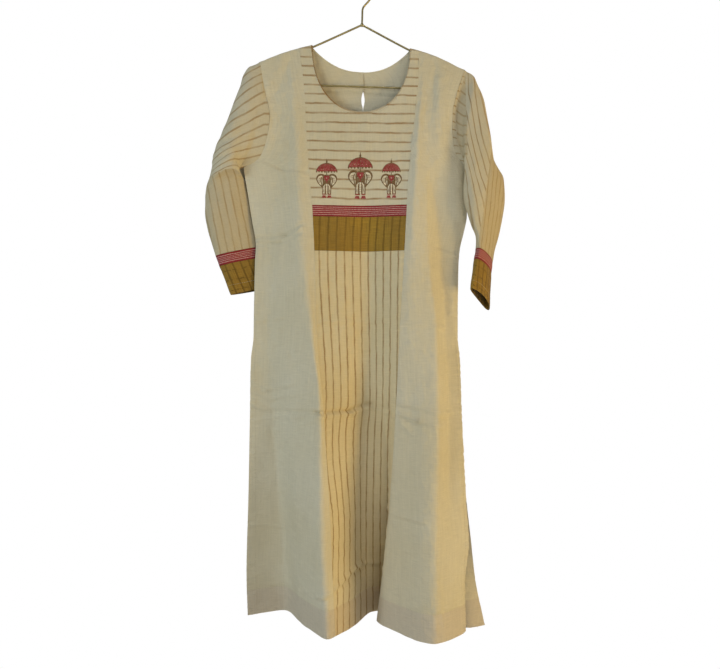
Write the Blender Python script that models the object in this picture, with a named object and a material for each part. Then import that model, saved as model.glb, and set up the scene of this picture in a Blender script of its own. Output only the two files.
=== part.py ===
"""Long kurta tunic hanging on a wire clothes hanger.

Front: a centre yoke, a print band, an olive panel and a striped skirt panel, sewn one under
the other between two plain side panels.  Back: one panel with a keyhole slit that a button
and a loop close.  Each sleeve: one tube, a band and a cuff.  Cloth is a thin wall.

Sizes are in millimetres and become metres when a mesh is made.  The origin is the point
inside the hook where the hanger rests.  X runs to the right as the garment is seen,
Z runs up, and depth means distance towards the viewer, so depth = -Y.
"""
import math

import bpy
import bmesh
from mathutils import Vector

# Driving sizes

MM = 0.001
CLOTH = 1.2                  # wall of every cloth piece
SEAM_GAP = 0.3               # space between two pieces at a seam
UNDERARM_STEP = 0.8          # how far the sleeve's underarm point stands off the body
WIRE_RADIUS = 1.9
WIRE_CLEARANCE = 0.8         # space between the wire and the cloth that lies on it
WRAP_RADIUS = WIRE_RADIUS + WIRE_CLEARANCE + CLOTH / 2

HANGER_TILT = math.radians(1.9)          # the right arm hangs lower
APEX_HEIGHT = -85.4                      # where the two arms meet
KNEE_REACH = 95.5                        # from the middle to the bend at each neck point
INNER_SLOPE = math.radians(26.1)
OUTER_SLOPE = math.radians(19.6)
ARM_REACH = 189.0                        # from the middle to the end of the arm
LEFT_ARM_BOW = 3.0                       # how far each arm bows up between bend and end
RIGHT_ARM_BOW = 4.2
CROSSBAR_DROP = 121.4                    # from the apex down to the crossbar
HOOK_RADIUS = 22.0
HOOK_RISE = 65.3                         # from the apex up to the middle of the hook's loop
HOOK_SHIFT = -2.2
HOOK_STEM = 30.0
HOOK_START_ANGLE = math.radians(-46)
HOOK_END_ANGLE = math.radians(205)
COLLAR_RADIUS = 3.4

NECK_CENTRE = -2.0
FRONT_NECK_DEPTH = 128.0
BACK_NECK_DEPTH = 43.5
FRONT_NECK_SHAPE = (2.15, 1 / 2.15)      # powers of the neck curve: a near ellipse in front,
BACK_NECK_SHAPE = (2.4, 1.0)             # a shallow curve at the back

BAND_TOP = -444.0
OLIVE_TOP = -466.0
SKIRT_TOP = -533.0
SLIT_TOP = -700.0
HEM = -1257.0
LEFT_UNDERARM = -366.0
RIGHT_UNDERARM = -363.0

KEYHOLE_CENTRE = 2.0
KEYHOLE_BOTTOM = -252.0
BUTTON_RADIUS = 4.5
BUTTON_THICKNESS = 3.0
BUTTON_X = -7.9
BUTTON_Z = -187.0
LOOP_WIRE = 0.6

# Rails of the front.  Each is a line down the cloth, given by rows of height, x and depth.
# The first row of each sits on the hanger wire, so only its x is given.

FRONT_RAILS = (
    ("left edge", -199.8, (
        (-219.7, -190.7, 8.0), (-245.0, -183.5, 10.0), (-268.0, -180.4, 10.0),
        (-292.0, -182.6, 10.0), (-316.0, -187.6, 8.5), (-336.0, -194.5, 5.5),
        (-349.0, -203.0, 3.5), (-359.0, -217.0, 1.5), (-366.0, -232.5, 0.75),
        (-402.0, -227.3, 0.75), (-467.0, -217.1, 0.75), (-522.0, -208.8, 0.75),
        (-552.0, -210.6, 0.75), (-700.0, -213.6, 0.75), (-745.0, -219.0, -1.0),
        (-840.0, -221.4, -5.0), (-1020.0, -226.1, -13.0), (-1176.0, -230.6, -18.0),
        (-1257.0, -228.7, -21.0))),
    ("left valley", -166.0, (
        (-222.0, -168.0, 7.0), (-268.0, -160.0, 8.0), (-338.0, -165.0, 9.0),
        (-400.0, -172.0, 8.0), (-530.0, -186.0, 5.0), (-700.0, -187.0, 4.0),
        (-840.0, -180.0, -5.0), (-1020.0, -171.0, -25.0), (-1257.0, -160.0, -46.0))),
    ("left slope", -150.0, (
        (-228.0, -151.0, 9.0), (-268.0, -144.5, 11.0), (-317.0, -143.0, 13.0),
        (-376.0, -146.0, 15.0), (-435.0, -148.0, 16.0), (-533.0, -150.0, 19.0),
        (-700.0, -141.0, 24.5), (-840.0, -131.0, 27.0), (-1010.0, -124.0, 27.0),
        (-1257.0, -113.0, 22.0))),
    ("left ridge", -135.0, (
        (-228.0, -133.7, 12.0), (-268.0, -129.6, 14.5), (-317.0, -125.4, 18.0),
        (-376.0, -123.0, 22.0), (-435.0, -120.8, 26.0), (-533.0, -113.8, 33.0),
        (-700.0, -95.2, 45.0), (-834.0, -80.3, 55.0), (-1010.0, -77.6, 68.0),
        (-1257.0, -64.5, 84.0))),
    ("left seam", -122.8, (
        (-228.0, -111.9, 10.0), (-280.0, -109.3, 12.0), (-339.0, -105.9, 15.0),
        (-376.0, -103.0, 17.5), (-443.0, -96.8, 22.0), (-534.0, -92.0, 27.0),
        (-700.0, -86.1, 38.0), (-834.0, -74.1, 47.0), (-1010.0, -62.4, 56.0),
        (-1257.0, -50.5, 72.0))),
    ("centre left", -75.0, (
        (-268.0, -62.0, 12.0), (-376.0, -58.0, 15.0), (-443.0, -54.0, 18.0),
        (-534.0, -48.0, 20.0), (-700.0, -34.0, 24.0), (-834.0, -33.0, 24.0),
        (-1010.0, -33.0, 22.0), (-1257.0, -14.0, 24.0))),
    ("centre valley", -18.0, (
        (-268.0, -14.0, 12.0), (-376.0, -14.0, 14.5), (-443.0, -12.0, 15.0),
        (-534.0, -8.0, 13.0), (-700.0, -4.0, 12.0), (-834.0, -8.0, -4.0),
        (-1010.0, -10.0, -12.0), (-1257.0, 10.0, -36.0))),
    ("inner fold", 45.0, (
        (-268.0, 48.0, 13.0), (-376.0, 46.0, 16.0), (-443.0, 44.0, 18.0),
        (-534.0, 43.0, 17.0), (-700.0, 41.0, 18.0), (-834.0, 43.0, -1.0),
        (-1010.0, 52.0, -16.0), (-1257.0, 45.0, -46.0))),
    ("right seam", 112.0, (
        (-196.0, 110.4, 7.5), (-234.0, 105.9, 11.0), (-269.0, 102.7, 14.0),
        (-324.0, 96.0, 17.0), (-362.0, 93.0, 20.0), (-400.0, 89.0, 22.0),
        (-443.0, 86.7, 25.0), (-536.0, 81.5, 30.0), (-700.0, 71.7, 36.0),
        (-836.0, 65.0, 36.0), (-1014.0, 53.8, 30.0), (-1092.0, 46.4, 24.0),
        (-1164.0, 39.7, 14.0), (-1257.0, 29.0, 3.0))),
    ("right seam ridge", 120.0, (
        (-196.0, 119.0, 8.5), (-269.0, 112.0, 19.0), (-400.0, 103.0, 27.0),
        (-536.0, 96.0, 35.0), (-700.0, 92.0, 41.0), (-836.0, 92.0, 46.0),
        (-1014.0, 86.0, 57.0), (-1257.0, 70.0, 56.0))),
    ("right slope", 132.0, (
        (-196.0, 130.0, 7.0), (-269.0, 124.0, 14.0), (-400.0, 113.0, 25.0),
        (-536.0, 112.0, 33.0), (-700.0, 117.0, 44.0), (-836.0, 118.0, 56.0),
        (-1014.0, 116.0, 76.0), (-1257.0, 108.0, 93.5))),
    ("right ridge", 143.0, (
        (-196.0, 140.0, 6.0), (-269.0, 134.0, 11.0), (-400.0, 124.0, 23.0),
        (-536.0, 126.0, 30.0), (-700.0, 140.0, 45.0), (-836.0, 141.0, 60.0),
        (-1014.0, 135.0, 79.0), (-1257.0, 131.0, 102.0))),
    ("right valley", 156.0, (
        (-196.0, 152.0, 9.0), (-269.0, 150.0, 16.0), (-345.0, 150.0, 15.0),
        (-400.0, 145.0, 12.0), (-536.0, 157.0, 6.0), (-700.0, 165.0, 11.0),
        (-836.0, 170.0, 20.0), (-1014.0, 165.0, 55.0), (-1257.0, 154.0, 91.0))),
    ("right outer", 178.0, (
        (-196.0, 172.0, 8.0), (-269.0, 164.0, 13.0), (-345.0, 172.0, 9.0),
        (-400.0, 182.0, 9.0), (-536.0, 177.0, 5.0), (-700.0, 178.0, 7.0),
        (-836.0, 185.0, 15.0), (-1014.0, 188.0, 43.0), (-1257.0, 191.0, 59.0))),
    ("right edge", 200.5, (
        (-216.0, 187.4, 8.0), (-236.0, 181.9, 9.5), (-258.0, 177.2, 10.0),
        (-292.0, 176.6, 10.0), (-316.0, 178.0, 9.0), (-336.0, 182.0, 6.0),
        (-350.0, 190.0, 3.0), (-358.0, 197.5, 1.5), (-363.0, 203.0, 0.75),
        (-400.0, 203.5, 0.75), (-440.0, 206.5, 0.75), (-460.0, 206.5, 0.75),
        (-495.0, 200.2, 0.75), (-525.0, 193.0, 0.75), (-556.0, 190.0, 0.75),
        (-700.0, 188.2, 0.75), (-745.0, 192.2, 4.0), (-838.0, 194.2, 12.0), (-1014.0, 199.7, 32.0),
        (-1088.0, 204.0, 38.0), (-1172.0, 196.0, 44.0), (-1257.0, 197.0, 49.0))),
)

BACK_RAILS = (
    ("left edge", -199.8, (
        (-219.7, -190.7, -8.0), (-245.0, -183.5, -10.0), (-268.0, -180.4, -10.0),
        (-292.0, -182.6, -10.0), (-316.0, -187.6, -8.5), (-336.0, -194.5, -5.5),
        (-349.0, -203.0, -3.5), (-359.0, -217.0, -1.5), (-366.0, -232.5, -0.75),
        (-402.0, -227.3, -0.75), (-467.0, -217.1, -0.75), (-522.0, -208.8, -0.75),
        (-552.0, -210.6, -0.75), (-700.0, -213.6, -0.75), (-840.0, -214.0, -16.0),
        (-1020.0, -212.0, -38.0), (-1257.0, -208.0, -62.0))),
    ("left fold", -150.0, (
        (-268.0, -146.0, -14.0), (-400.0, -152.0, -17.0), (-530.0, -150.0, -19.0),
        (-700.0, -148.0, -26.0), (-840.0, -146.0, -44.0), (-1020.0, -144.0, -68.0),
        (-1257.0, -142.0, -98.0))),
    ("left neck", -97.0, (
        (-268.0, -90.0, -12.0), (-400.0, -86.0, -13.0), (-530.0, -84.0, -17.0),
        (-700.0, -82.0, -24.0), (-840.0, -82.0, -36.0), (-1020.0, -84.0, -54.0),
        (-1257.0, -86.0, -76.0))),
    ("keyhole left", 1.4, (
        (-178.0, 1.4, -8.0), (-186.0, 1.2, -8.5), (-200.0, -0.2, -9.0),
        (-222.0, -1.4, -9.5), (-244.0, -1.0, -10.0), (-252.0, 1.2, -10.5),
        (-282.0, -5.0, -12.0), (-338.0, -14.0, -15.0), (-400.0, -20.0, -18.0),
        (-530.0, -22.0, -25.0), (-700.0, -24.0, -34.0), (-840.0, -26.0, -50.0),
        (-1020.0, -28.0, -76.0), (-1257.0, -30.0, -106.0))),
    ("keyhole right", 2.6, (
        (-178.0, 2.6, -8.0), (-186.0, 2.8, -8.5), (-200.0, 4.2, -9.0),
        (-222.0, 5.4, -9.5), (-244.0, 5.0, -10.0), (-252.0, 2.8, -10.5),
        (-282.0, 9.0, -12.0), (-338.0, 18.0, -15.0), (-400.0, 24.0, -18.0),
        (-530.0, 26.0, -25.0), (-700.0, 28.0, -33.0), (-840.0, 30.0, -48.0),
        (-1020.0, 32.0, -72.0), (-1257.0, 34.0, -100.0))),
    ("right neck", 93.0, (
        (-268.0, 88.0, -12.0), (-400.0, 84.0, -13.0), (-530.0, 82.0, -16.0),
        (-700.0, 82.0, -21.0), (-840.0, 84.0, -30.0), (-1020.0, 90.0, -42.0),
        (-1257.0, 98.0, -58.0))),
    ("right fold", 150.0, (
        (-268.0, 144.0, -14.0), (-400.0, 146.0, -17.0), (-530.0, 142.0, -18.0),
        (-700.0, 140.0, -20.0), (-840.0, 144.0, -26.0), (-1020.0, 148.0, -30.0),
        (-1257.0, 150.0, -34.0))),
    ("right pleat", 176.0, (
        (-268.0, 162.0, -12.0), (-400.0, 178.0, -9.0), (-530.0, 170.0, -9.0),
        (-700.0, 166.0, -10.0), (-840.0, 172.0, -12.0), (-1020.0, 184.0, -4.0),
        (-1172.0, 192.0, 20.0), (-1257.0, 198.0, 36.0))),
    ("right edge", 200.5, (
        (-216.0, 187.4, -8.0), (-236.0, 181.9, -9.5), (-258.0, 177.2, -10.0),
        (-292.0, 176.6, -10.0), (-316.0, 178.0, -9.0), (-336.0, 182.0, -6.0),
        (-350.0, 190.0, -3.0), (-358.0, 197.5, -1.5), (-363.0, 203.0, -0.75),
        (-400.0, 203.5, -0.75), (-440.0, 206.5, -0.75), (-460.0, 206.5, -0.75),
        (-495.0, 200.2, -0.75), (-525.0, 193.0, -0.75), (-556.0, 190.0, -0.75),
        (-700.0, 188.2, -0.75), (-838.0, 190.0, -1.0), (-1014.0, 204.0, 6.0),
        (-1096.0, 212.7, 12.0), (-1172.0, 220.4, 17.0), (-1257.0, 237.5, 22.5))),
)

# Level rows of the cloth grids, from the first level row down

ARMHOLE_ROWS_LEFT = (-200, -222, -245, -268, -292, -316, -336, -349, -359, LEFT_UNDERARM)
ARMHOLE_ROWS_RIGHT = (-200, -222, -245, -268, -292, -316, -336, -350, -358, RIGHT_UNDERARM)
BODY_ROWS = (-387, -415, BAND_TOP)
BAND_ROWS = (BAND_TOP, OLIVE_TOP)
OLIVE_ROWS = (OLIVE_TOP, -500, SKIRT_TOP)
SKIRT_ROWS = (SKIRT_TOP, -575, -617, -660, SLIT_TOP, -745, -790, -834, -880, -930, -980,
              -1030, -1085, -1140, -1197, HEM)
BACK_ROWS_LEFT = (-200, -222, KEYHOLE_BOTTOM, -282, -312, -336, -349, -359, LEFT_UNDERARM)
BACK_ROWS_RIGHT = (-200, -222, KEYHOLE_BOTTOM, -282, -312, -336, -350, -358, RIGHT_UNDERARM)
BACK_BODY_ROWS = (-400, -440, -485, -530, -580, -640, SLIT_TOP, -770, -834, -900, -965,
                  -1030, -1100, -1180, HEM)
UPPER_ROW_SHARE = 0.45       # where the row between the wire and the first level row lies

LEFT_COLUMNS = (0, 0.33, 0.67, 1, 1.5, 2, 2.6, 3, 3.5, 4)
CENTRE_COLUMNS = (4, 4.5, 5, 5.5, 6, 6.5, 7, 7.5, 8)
RIGHT_COLUMNS = (8, 8.5, 9, 10, 10.5, 11, 11.5, 12, 12.5, 13, 14)
BACK_COLUMNS = (0, 0.5, 1, 1.5, 2, 2.12, 2.26, 2.45, 2.7, 3, 4, 4.3, 4.55, 4.74, 4.88, 5, 5.5,
                6, 6.5, 7, 7.5, 8)
BACK_NECK_COLUMNS = (2, 5)
KEYHOLE_COLUMNS = (3, 4)
LEFT_SEAM = 4
RIGHT_SEAM = 8
YOKE_RINGS = 4

# Sleeves.  Each row is one ring of the tube, given by its outer, front, under and back
# points as x, height and depth.  The first row is the armhole.

LEFT_SLEEVE_RINGS = (
    ((-202, -165, 0), (-180, -268, 10), (-233, -366, 0), (-180, -268, -10)),
    ((-219, -168, 0), (-198, -268, 14), (-240, -368, -2), (-197, -270, -17)),
    ((-232, -184, 0), (-217, -286, 20), (-242, -371, -6), (-214, -288, -22)),
    ((-243, -216, 0), (-235, -310, 23), (-242, -375, -11), (-227, -310, -25)),
    ((-266, -281, 2), (-246, -334, 26), (-240, -379, -15), (-234, -336, -30)),
    ((-289, -340, 3), (-250, -355, 28), (-238, -383, -18), (-244, -356, -33)),
    ((-298, -386, 3), (-251, -372, 28), (-234.5, -390, -20), (-250, -370, -35)),
    ((-305, -408, 3), (-253, -383, 15), (-231, -398, -21), (-256, -384, -36)),
    ((-308, -428, 3), (-255, -396, 12), (-227, -406, -22), (-261, -404, -36)),
    ((-308, -454, 3), (-258, -436, 13), (-215, -434, -24), (-262, -440, -36)),
    ((-303, -489, 3), (-251, -479, 9), (-203, -470, -27), (-253, -478, -35)),
    ((-287, -541, 2), (-234, -528, 5), (-177, -514, -36), (-232, -528, -40)),
    ((-280, -561, 1), (-226, -548, 1), (-169, -534, -40), (-224, -548, -43)),
    ((-258, -617, -1), (-207, -605, -9), (-147, -591, -50), (-203, -604, -48)),
)
RIGHT_SLEEVE_RINGS = (
    ((202, -178, 0), (177, -275, 10), (203, -363, 0), (177, -275, -10)),
    ((211, -181, 0), (188, -274, 5), (209, -365, 3), (188, -278, -18)),
    ((220, -188, 0), (197, -276, 8), (210, -371, 9), (202, -285, -27)),
    ((228, -206, 0), (203, -287, 21), (207, -380, 13), (217, -296, -36)),
    ((240, -240, 2), (218, -318, 25), (204, -395, 15), (231, -330, -46)),
    ((249, -300, 4), (235, -352, 28), (203, -412, 17), (240, -372, -54)),
    ((256, -348, -3), (245, -388, 29), (205, -434, 19), (249, -405, -58)),
    ((283, -388, -24), (250, -422, 26), (208, -456, 21), (256, -438, -61)),
    ((286, -428, -30), (253, -458, 20), (214, -482, 23), (256, -468, -61)),
    ((278, -482, -38), (257, -496, 9), (221, -506, 27), (250, -498, -56)),
    ((262, -552, -48), (251, -541, 2), (223, -528, 29), (234, -541, -28)),
    ((259, -577, -48), (249, -563, 1), (219, -549, 29), (232, -563, -27)),
    ((259, -645, -50), (243, -623, 0), (210, -606, 28), (234, -626, -26)),
)
LEFT_SLEEVE_PIECES = (11, 12, 13)        # rows where the sleeve, its band and its cuff end
RIGHT_SLEEVE_PIECES = (10, 11, 12)
LEFT_SLEEVE_STEPS = (0, 0.5, 1, 2, 3, 4, 5, 6, 7, 8, 9, 10, 11)
RIGHT_SLEEVE_STEPS = (0, 0.5, 1, 2, 3, 4, 5, 6, 6.5, 7, 8, 9, 10)

# Colours and finishes: red, green, blue, roughness, metallic

FINISHES = {
    "brass wire": (0.55, 0.42, 0.22, 0.35, 0.9),
    "cream cotton": (0.72, 0.68, 0.55, 0.9, 0.0),
    "striped cotton": (0.68, 0.60, 0.42, 0.9, 0.0),
    "red print": (0.45, 0.13, 0.12, 0.9, 0.0),
    "olive cotton": (0.25, 0.18, 0.04, 0.9, 0.0),
    "cream button": (0.70, 0.65, 0.52, 0.5, 0.0),
}


# Smooth lines through a few rows

class SmoothLine:
    """A smooth line through points that never swings past them."""

    def __init__(self, places, values):
        pairs = sorted(zip(places, values))
        self.places = [place for place, value in pairs]
        self.values = [value for place, value in pairs]
        self.slopes = self.find_slopes()

    def find_slopes(self):
        count = len(self.places)
        steps = [self.places[i + 1] - self.places[i] for i in range(count - 1)]
        rises = [(self.values[i + 1] - self.values[i]) / steps[i] for i in range(count - 1)]
        slopes = [rises[0]]
        for i in range(1, count - 1):
            before, after = rises[i - 1], rises[i]
            if before * after <= 0:
                slopes.append(0.0)
            else:
                near = 2 * steps[i] + steps[i - 1]
                far = steps[i] + 2 * steps[i - 1]
                slopes.append((near + far) / (near / before + far / after))
        slopes.append(rises[-1])
        return slopes

    def at(self, place):
        if place <= self.places[0]:
            return self.values[0]
        if place >= self.places[-1]:
            return self.values[-1]
        i = 0
        while place > self.places[i + 1]:
            i += 1
        step = self.places[i + 1] - self.places[i]
        t = (place - self.places[i]) / step
        start = (1 + 2 * t) * (1 - t) ** 2 * self.values[i]
        start_slope = t * (1 - t) ** 2 * step * self.slopes[i]
        end = t * t * (3 - 2 * t) * self.values[i + 1]
        end_slope = t * t * (t - 1) * step * self.slopes[i + 1]
        return start + start_slope + end + end_slope


# The hanger's line

def tilted(x, rise):
    """Turn a point of the level hanger about its apex, and give its x and height."""
    turned_x = x * math.cos(HANGER_TILT) + rise * math.sin(HANGER_TILT)
    turned_rise = rise * math.cos(HANGER_TILT) - x * math.sin(HANGER_TILT)
    return turned_x, APEX_HEIGHT + turned_rise


KNEE_DROP = KNEE_REACH * math.tan(INNER_SLOPE)
ARM_DROP = KNEE_DROP + (ARM_REACH - KNEE_REACH) * math.tan(OUTER_SLOPE)
LEFT_KNEE = tilted(-KNEE_REACH, -KNEE_DROP)
RIGHT_KNEE = tilted(KNEE_REACH, -KNEE_DROP)
LEFT_ARM_END = tilted(-ARM_REACH, -ARM_DROP)
RIGHT_ARM_END = tilted(ARM_REACH, -ARM_DROP)


def wire_height(x):
    """The height of the wire's middle under a shoulder."""
    knee, end, bow = ((LEFT_KNEE, LEFT_ARM_END, LEFT_ARM_BOW) if x < 0
                      else (RIGHT_KNEE, RIGHT_ARM_END, RIGHT_ARM_BOW))
    share = (x - knee[0]) / (end[0] - knee[0])
    lift = bow * 4 * share * (1 - share) if 0 < share < 1 else 0.0
    return knee[1] + share * (end[1] - knee[1]) + lift


def wire_slope(x):
    """The direction of the wire under a shoulder, as a unit vector that points right."""
    rise = (wire_height(x + 1.0) - wire_height(x - 1.0)) / 2
    length = math.hypot(1.0, rise)
    return 1.0 / length, rise / length


def wrap_point(x, turn, side):
    """A point and normal of the cloth that lies on the wire.

    turn is 0 level with the wire and a quarter turn on top of it; side is 1 for the front
    and -1 for the back.
    """
    run, rise = wire_slope(x)
    forward = max(math.cos(turn) * WRAP_RADIUS, SEAM_GAP / 2)
    up = math.sin(turn) * WRAP_RADIUS
    point = Vector((x - rise * up, -side * forward, wire_height(x) + run * up))
    normal = Vector((-rise * math.sin(turn), -side * math.cos(turn), run * math.sin(turn)))
    return point, normal


WRAP_TURNS = (math.pi / 2, math.pi / 4, 0.0)


# The cloth surface

class Cloth:
    """The middle surface of the front or the back, over a rail number and a height."""

    def __init__(self, rails, side):
        self.side = side
        self.tops = SmoothLine(range(len(rails)), [top for name, top, rows in rails])
        self.x_lines = []
        self.depth_lines = []
        for name, top, rows in rails:
            heights = [wire_height(top)] + [row[0] for row in rows]
            self.x_lines.append(SmoothLine(heights, [top] + [row[1] for row in rows]))
            depths = [side * WRAP_RADIUS] + [row[2] for row in rows]
            self.depth_lines.append(SmoothLine(heights, depths))
        self.levels = {}

    def level(self, height):
        key = round(height, 4)
        if key not in self.levels:
            rails = range(len(self.x_lines))
            across = SmoothLine(rails, [line.at(height) for line in self.x_lines])
            depth = SmoothLine(rails, [line.at(height) for line in self.depth_lines])
            self.levels[key] = (across, depth)
        return self.levels[key]

    def point(self, rail, height):
        across, depth = self.level(height)
        return Vector((across.at(rail), -depth.at(rail), height))

    def normal(self, rail, height):
        last = len(self.x_lines) - 1
        before, after = max(rail - 0.02, 0), min(rail + 0.02, last)
        along = self.point(after, height) - self.point(before, height)
        down = self.point(rail, height - 1.0) - self.point(rail, height + 1.0)
        return along.cross(down).normalized() * -self.side

    def rail_at(self, x, height, low, high):
        """The rail number between two rails where the cloth has this x."""
        across = self.level(height)[0]
        for step in range(40):
            middle = (low + high) / 2
            if across.at(middle) < x:
                low = middle
            else:
                high = middle
        return (low + high) / 2


def neckline(share, depth, shape):
    """x and height of the neck edge; share runs from -1 at the left to 1 at the right."""
    half = (RIGHT_KNEE[0] - LEFT_KNEE[0]) / 2
    middle = (RIGHT_KNEE[0] + LEFT_KNEE[0]) / 2
    chord = LEFT_KNEE[1] + (RIGHT_KNEE[1] - LEFT_KNEE[1]) * (share + 1) / 2
    drop = depth * max(1 - abs(share) ** shape[0], 0.0) ** shape[1]
    return middle + half * share, chord - drop


# Walls

def cell_triangles(a, b, c, d, points):
    """Two triangles of a cell, split along its shorter diagonal."""
    if (points[a] - points[c]).length <= (points[b] - points[d]).length:
        return (a, b, c), (a, c, d)
    return (a, b, d), (b, c, d)


def add_wall(name, points, normals, cells, finish):
    """Make a closed wall of cloth around a middle surface of four-sided cells."""
    half = CLOTH / 2
    mesh = bpy.data.meshes.new(name)
    shape = bmesh.new()
    outer = [shape.verts.new((point + normal * half) * MM)
             for point, normal in zip(points, normals)]
    inner = [shape.verts.new((point - normal * half) * MM)
             for point, normal in zip(points, normals)]
    edges = {}
    for cell in cells:
        for triangle in cell_triangles(*cell, points):
            shape.faces.new([outer[i] for i in triangle])
            shape.faces.new([inner[i] for i in reversed(triangle)])
        for start, end in zip(cell, cell[1:] + cell[:1]):
            if (end, start) in edges:
                del edges[(end, start)]
            else:
                edges[(start, end)] = True
    for start, end in edges:
        shape.faces.new((outer[end], outer[start], inner[start], inner[end]))
    loose = [vert for vert in shape.verts if not vert.link_faces]
    bmesh.ops.delete(shape, geom=loose, context="VERTS")
    bmesh.ops.recalc_face_normals(shape, faces=shape.faces)
    shape.to_mesh(mesh)
    shape.free()
    mesh.shade_smooth()
    mesh.set_sharp_from_angle(angle=math.radians(50))
    return add_object(name, mesh, finish)


def add_object(name, mesh, finish):
    part = bpy.data.objects.new(name, mesh)
    bpy.context.scene.collection.objects.link(part)
    part.data.materials.append(make_material(name, finish))
    return part


def make_material(name, finish):
    red, green, blue, roughness, metallic = FINISHES[finish]
    material = bpy.data.materials.new(name + " " + finish)
    material.use_nodes = True
    shader = material.node_tree.nodes["Principled BSDF"]
    shader.inputs["Base Color"].default_value = (red, green, blue, 1.0)
    shader.inputs["Roughness"].default_value = roughness
    shader.inputs["Metallic"].default_value = metallic
    return material


def pull_in(points, edge, inside):
    """Move an edge's points towards the row inside it by half a seam gap."""
    for here, there in zip(edge, inside):
        step = points[there] - points[here]
        points[here] = points[here] + step.normalized() * (SEAM_GAP / 2)


def grid_cells(rows, columns, skip=()):
    cells = []
    for row in range(rows - 1):
        for column in range(columns - 1):
            if (row, column) not in skip:
                start = row * columns + column
                cells.append((start, start + 1, start + columns + 1, start + columns))
    return cells


def column_line(cloth, column, level_rows):
    """Points and normals down one column, from the top of the wire to the last row."""
    top_x = cloth.tops.at(column)
    points, normals = [], []
    for turn in WRAP_TURNS:
        point, normal = wrap_point(top_x, turn, cloth.side)
        points.append(point)
        normals.append(normal)
    top = wire_height(top_x)
    upper = top + (level_rows[0] - top) * UPPER_ROW_SHARE
    for height in (upper,) + tuple(level_rows):
        points.append(cloth.point(column, height))
        normals.append(cloth.normal(column, height))
    return points, normals


def by_rows(columns):
    """Turn a list of columns into one list, row after row."""
    return [column[row] for row in range(len(columns[0])) for column in columns]


def seam_edges(points, rows, columns, left=True, right=True, top=False, bottom=False):
    """Pull in the sewn edges of a grid."""
    if left:
        edge = [row * columns for row in range(rows)]
        pull_in(points, edge, [i + 1 for i in edge])
    if right:
        edge = [row * columns + columns - 1 for row in range(rows)]
        pull_in(points, edge, [i - 1 for i in edge])
    if top:
        edge = list(range(columns))
        pull_in(points, edge, [i + columns for i in edge])
    if bottom:
        edge = [(rows - 1) * columns + i for i in range(columns)]
        pull_in(points, edge, [i - columns for i in edge])


# Pieces of the front

def add_side_panel(name, cloth, columns, armhole_rows):
    level_rows = armhole_rows + BODY_ROWS + BAND_ROWS[1:] + OLIVE_ROWS[1:] + SKIRT_ROWS[1:]
    lines = [column_line(cloth, column, level_rows) for column in columns]
    points = by_rows([line[0] for line in lines])
    normals = by_rows([line[1] for line in lines])
    rows = len(lines[0][0])
    seam_edges(points, rows, len(columns))
    return add_wall(name, points, normals, grid_cells(rows, len(columns)), "cream cotton")


def add_centre_panel(name, cloth, level_rows, finish, bottom):
    points, normals = [], []
    for height in level_rows:
        for column in CENTRE_COLUMNS:
            points.append(cloth.point(column, height))
            normals.append(cloth.normal(column, height))
    rows, columns = len(level_rows), len(CENTRE_COLUMNS)
    seam_edges(points, rows, columns, top=True, bottom=bottom)
    return add_wall(name, points, normals, grid_cells(rows, columns), finish)


def neck_shares(count):
    """Shares along the front neck edge, closer together where it turns down at its ends."""
    return [-math.cos(math.pi * i / (count - 1)) for i in range(count)]


def add_yoke(cloth):
    """The centre yoke: rings of points from the neck edge out to its three seams."""
    left, left_normals = column_line(cloth, LEFT_SEAM, ARMHOLE_ROWS_LEFT + BODY_ROWS)
    right, right_normals = column_line(cloth, RIGHT_SEAM, ARMHOLE_ROWS_RIGHT + BODY_ROWS)
    bottom = [cloth.point(column, BAND_TOP) for column in CENTRE_COLUMNS[1:-1]]
    bottom_normals = [cloth.normal(column, BAND_TOP) for column in CENTRE_COLUMNS[1:-1]]
    border = left + bottom + right[::-1]
    border_normals = left_normals + bottom_normals + right_normals[::-1]
    wraps = len(WRAP_TURNS)
    neck = neck_shares(len(border) - 2 * (wraps - 1))
    points, normals = [], []
    for i, (outer, outer_normal) in enumerate(zip(border, border_normals)):
        from_end = min(i, len(border) - 1 - i)
        for ring in range(YOKE_RINGS + 1):
            share = ring / YOKE_RINGS
            if ring == YOKE_RINGS:
                points.append(outer)
                normals.append(outer_normal)
            elif from_end < wraps:
                knee, seam = (LEFT_KNEE[0], cloth.tops.at(LEFT_SEAM)) if i < wraps else (
                    RIGHT_KNEE[0], cloth.tops.at(RIGHT_SEAM))
                x = knee + (seam - knee) * share
                point, normal = wrap_point(x, WRAP_TURNS[from_end], cloth.side)
                points.append(point)
                normals.append(normal)
            else:
                neck_x, neck_z = neckline(neck[i - wraps + 1], FRONT_NECK_DEPTH,
                                          FRONT_NECK_SHAPE)
                x = neck_x + (outer.x - neck_x) * share
                height = neck_z + (outer.z - neck_z) * share
                rail = cloth.rail_at(x, height, LEFT_SEAM, RIGHT_SEAM)
                points.append(cloth.point(rail, height))
                normals.append(cloth.normal(rail, height))
    columns = YOKE_RINGS + 1
    seam_edges(points, len(border), columns, left=False)
    cells = grid_cells(len(border), columns)
    return add_wall("front_centre_yoke", points, normals, cells, "striped cotton")


# The back

def back_line(cloth, column, level_rows):
    """One column of the back; inside the neck it starts at the neck edge."""
    points, normals = column_line(cloth, column, level_rows)
    if BACK_NECK_COLUMNS[0] < column < BACK_NECK_COLUMNS[1]:
        share = (cloth.tops.at(column) - NECK_CENTRE) / (RIGHT_KNEE[0] - NECK_CENTRE)
        x, top = neckline(max(-1, min(1, share)), BACK_NECK_DEPTH, BACK_NECK_SHAPE)
        upper = top + (level_rows[0] - top) * UPPER_ROW_SHARE
        first = len(WRAP_TURNS) - 1
        for row, height in ((first, top), (first + 1, upper)):
            points[row] = cloth.point(column, height)
            normals[row] = cloth.normal(column, height)
    return points, normals


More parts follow.
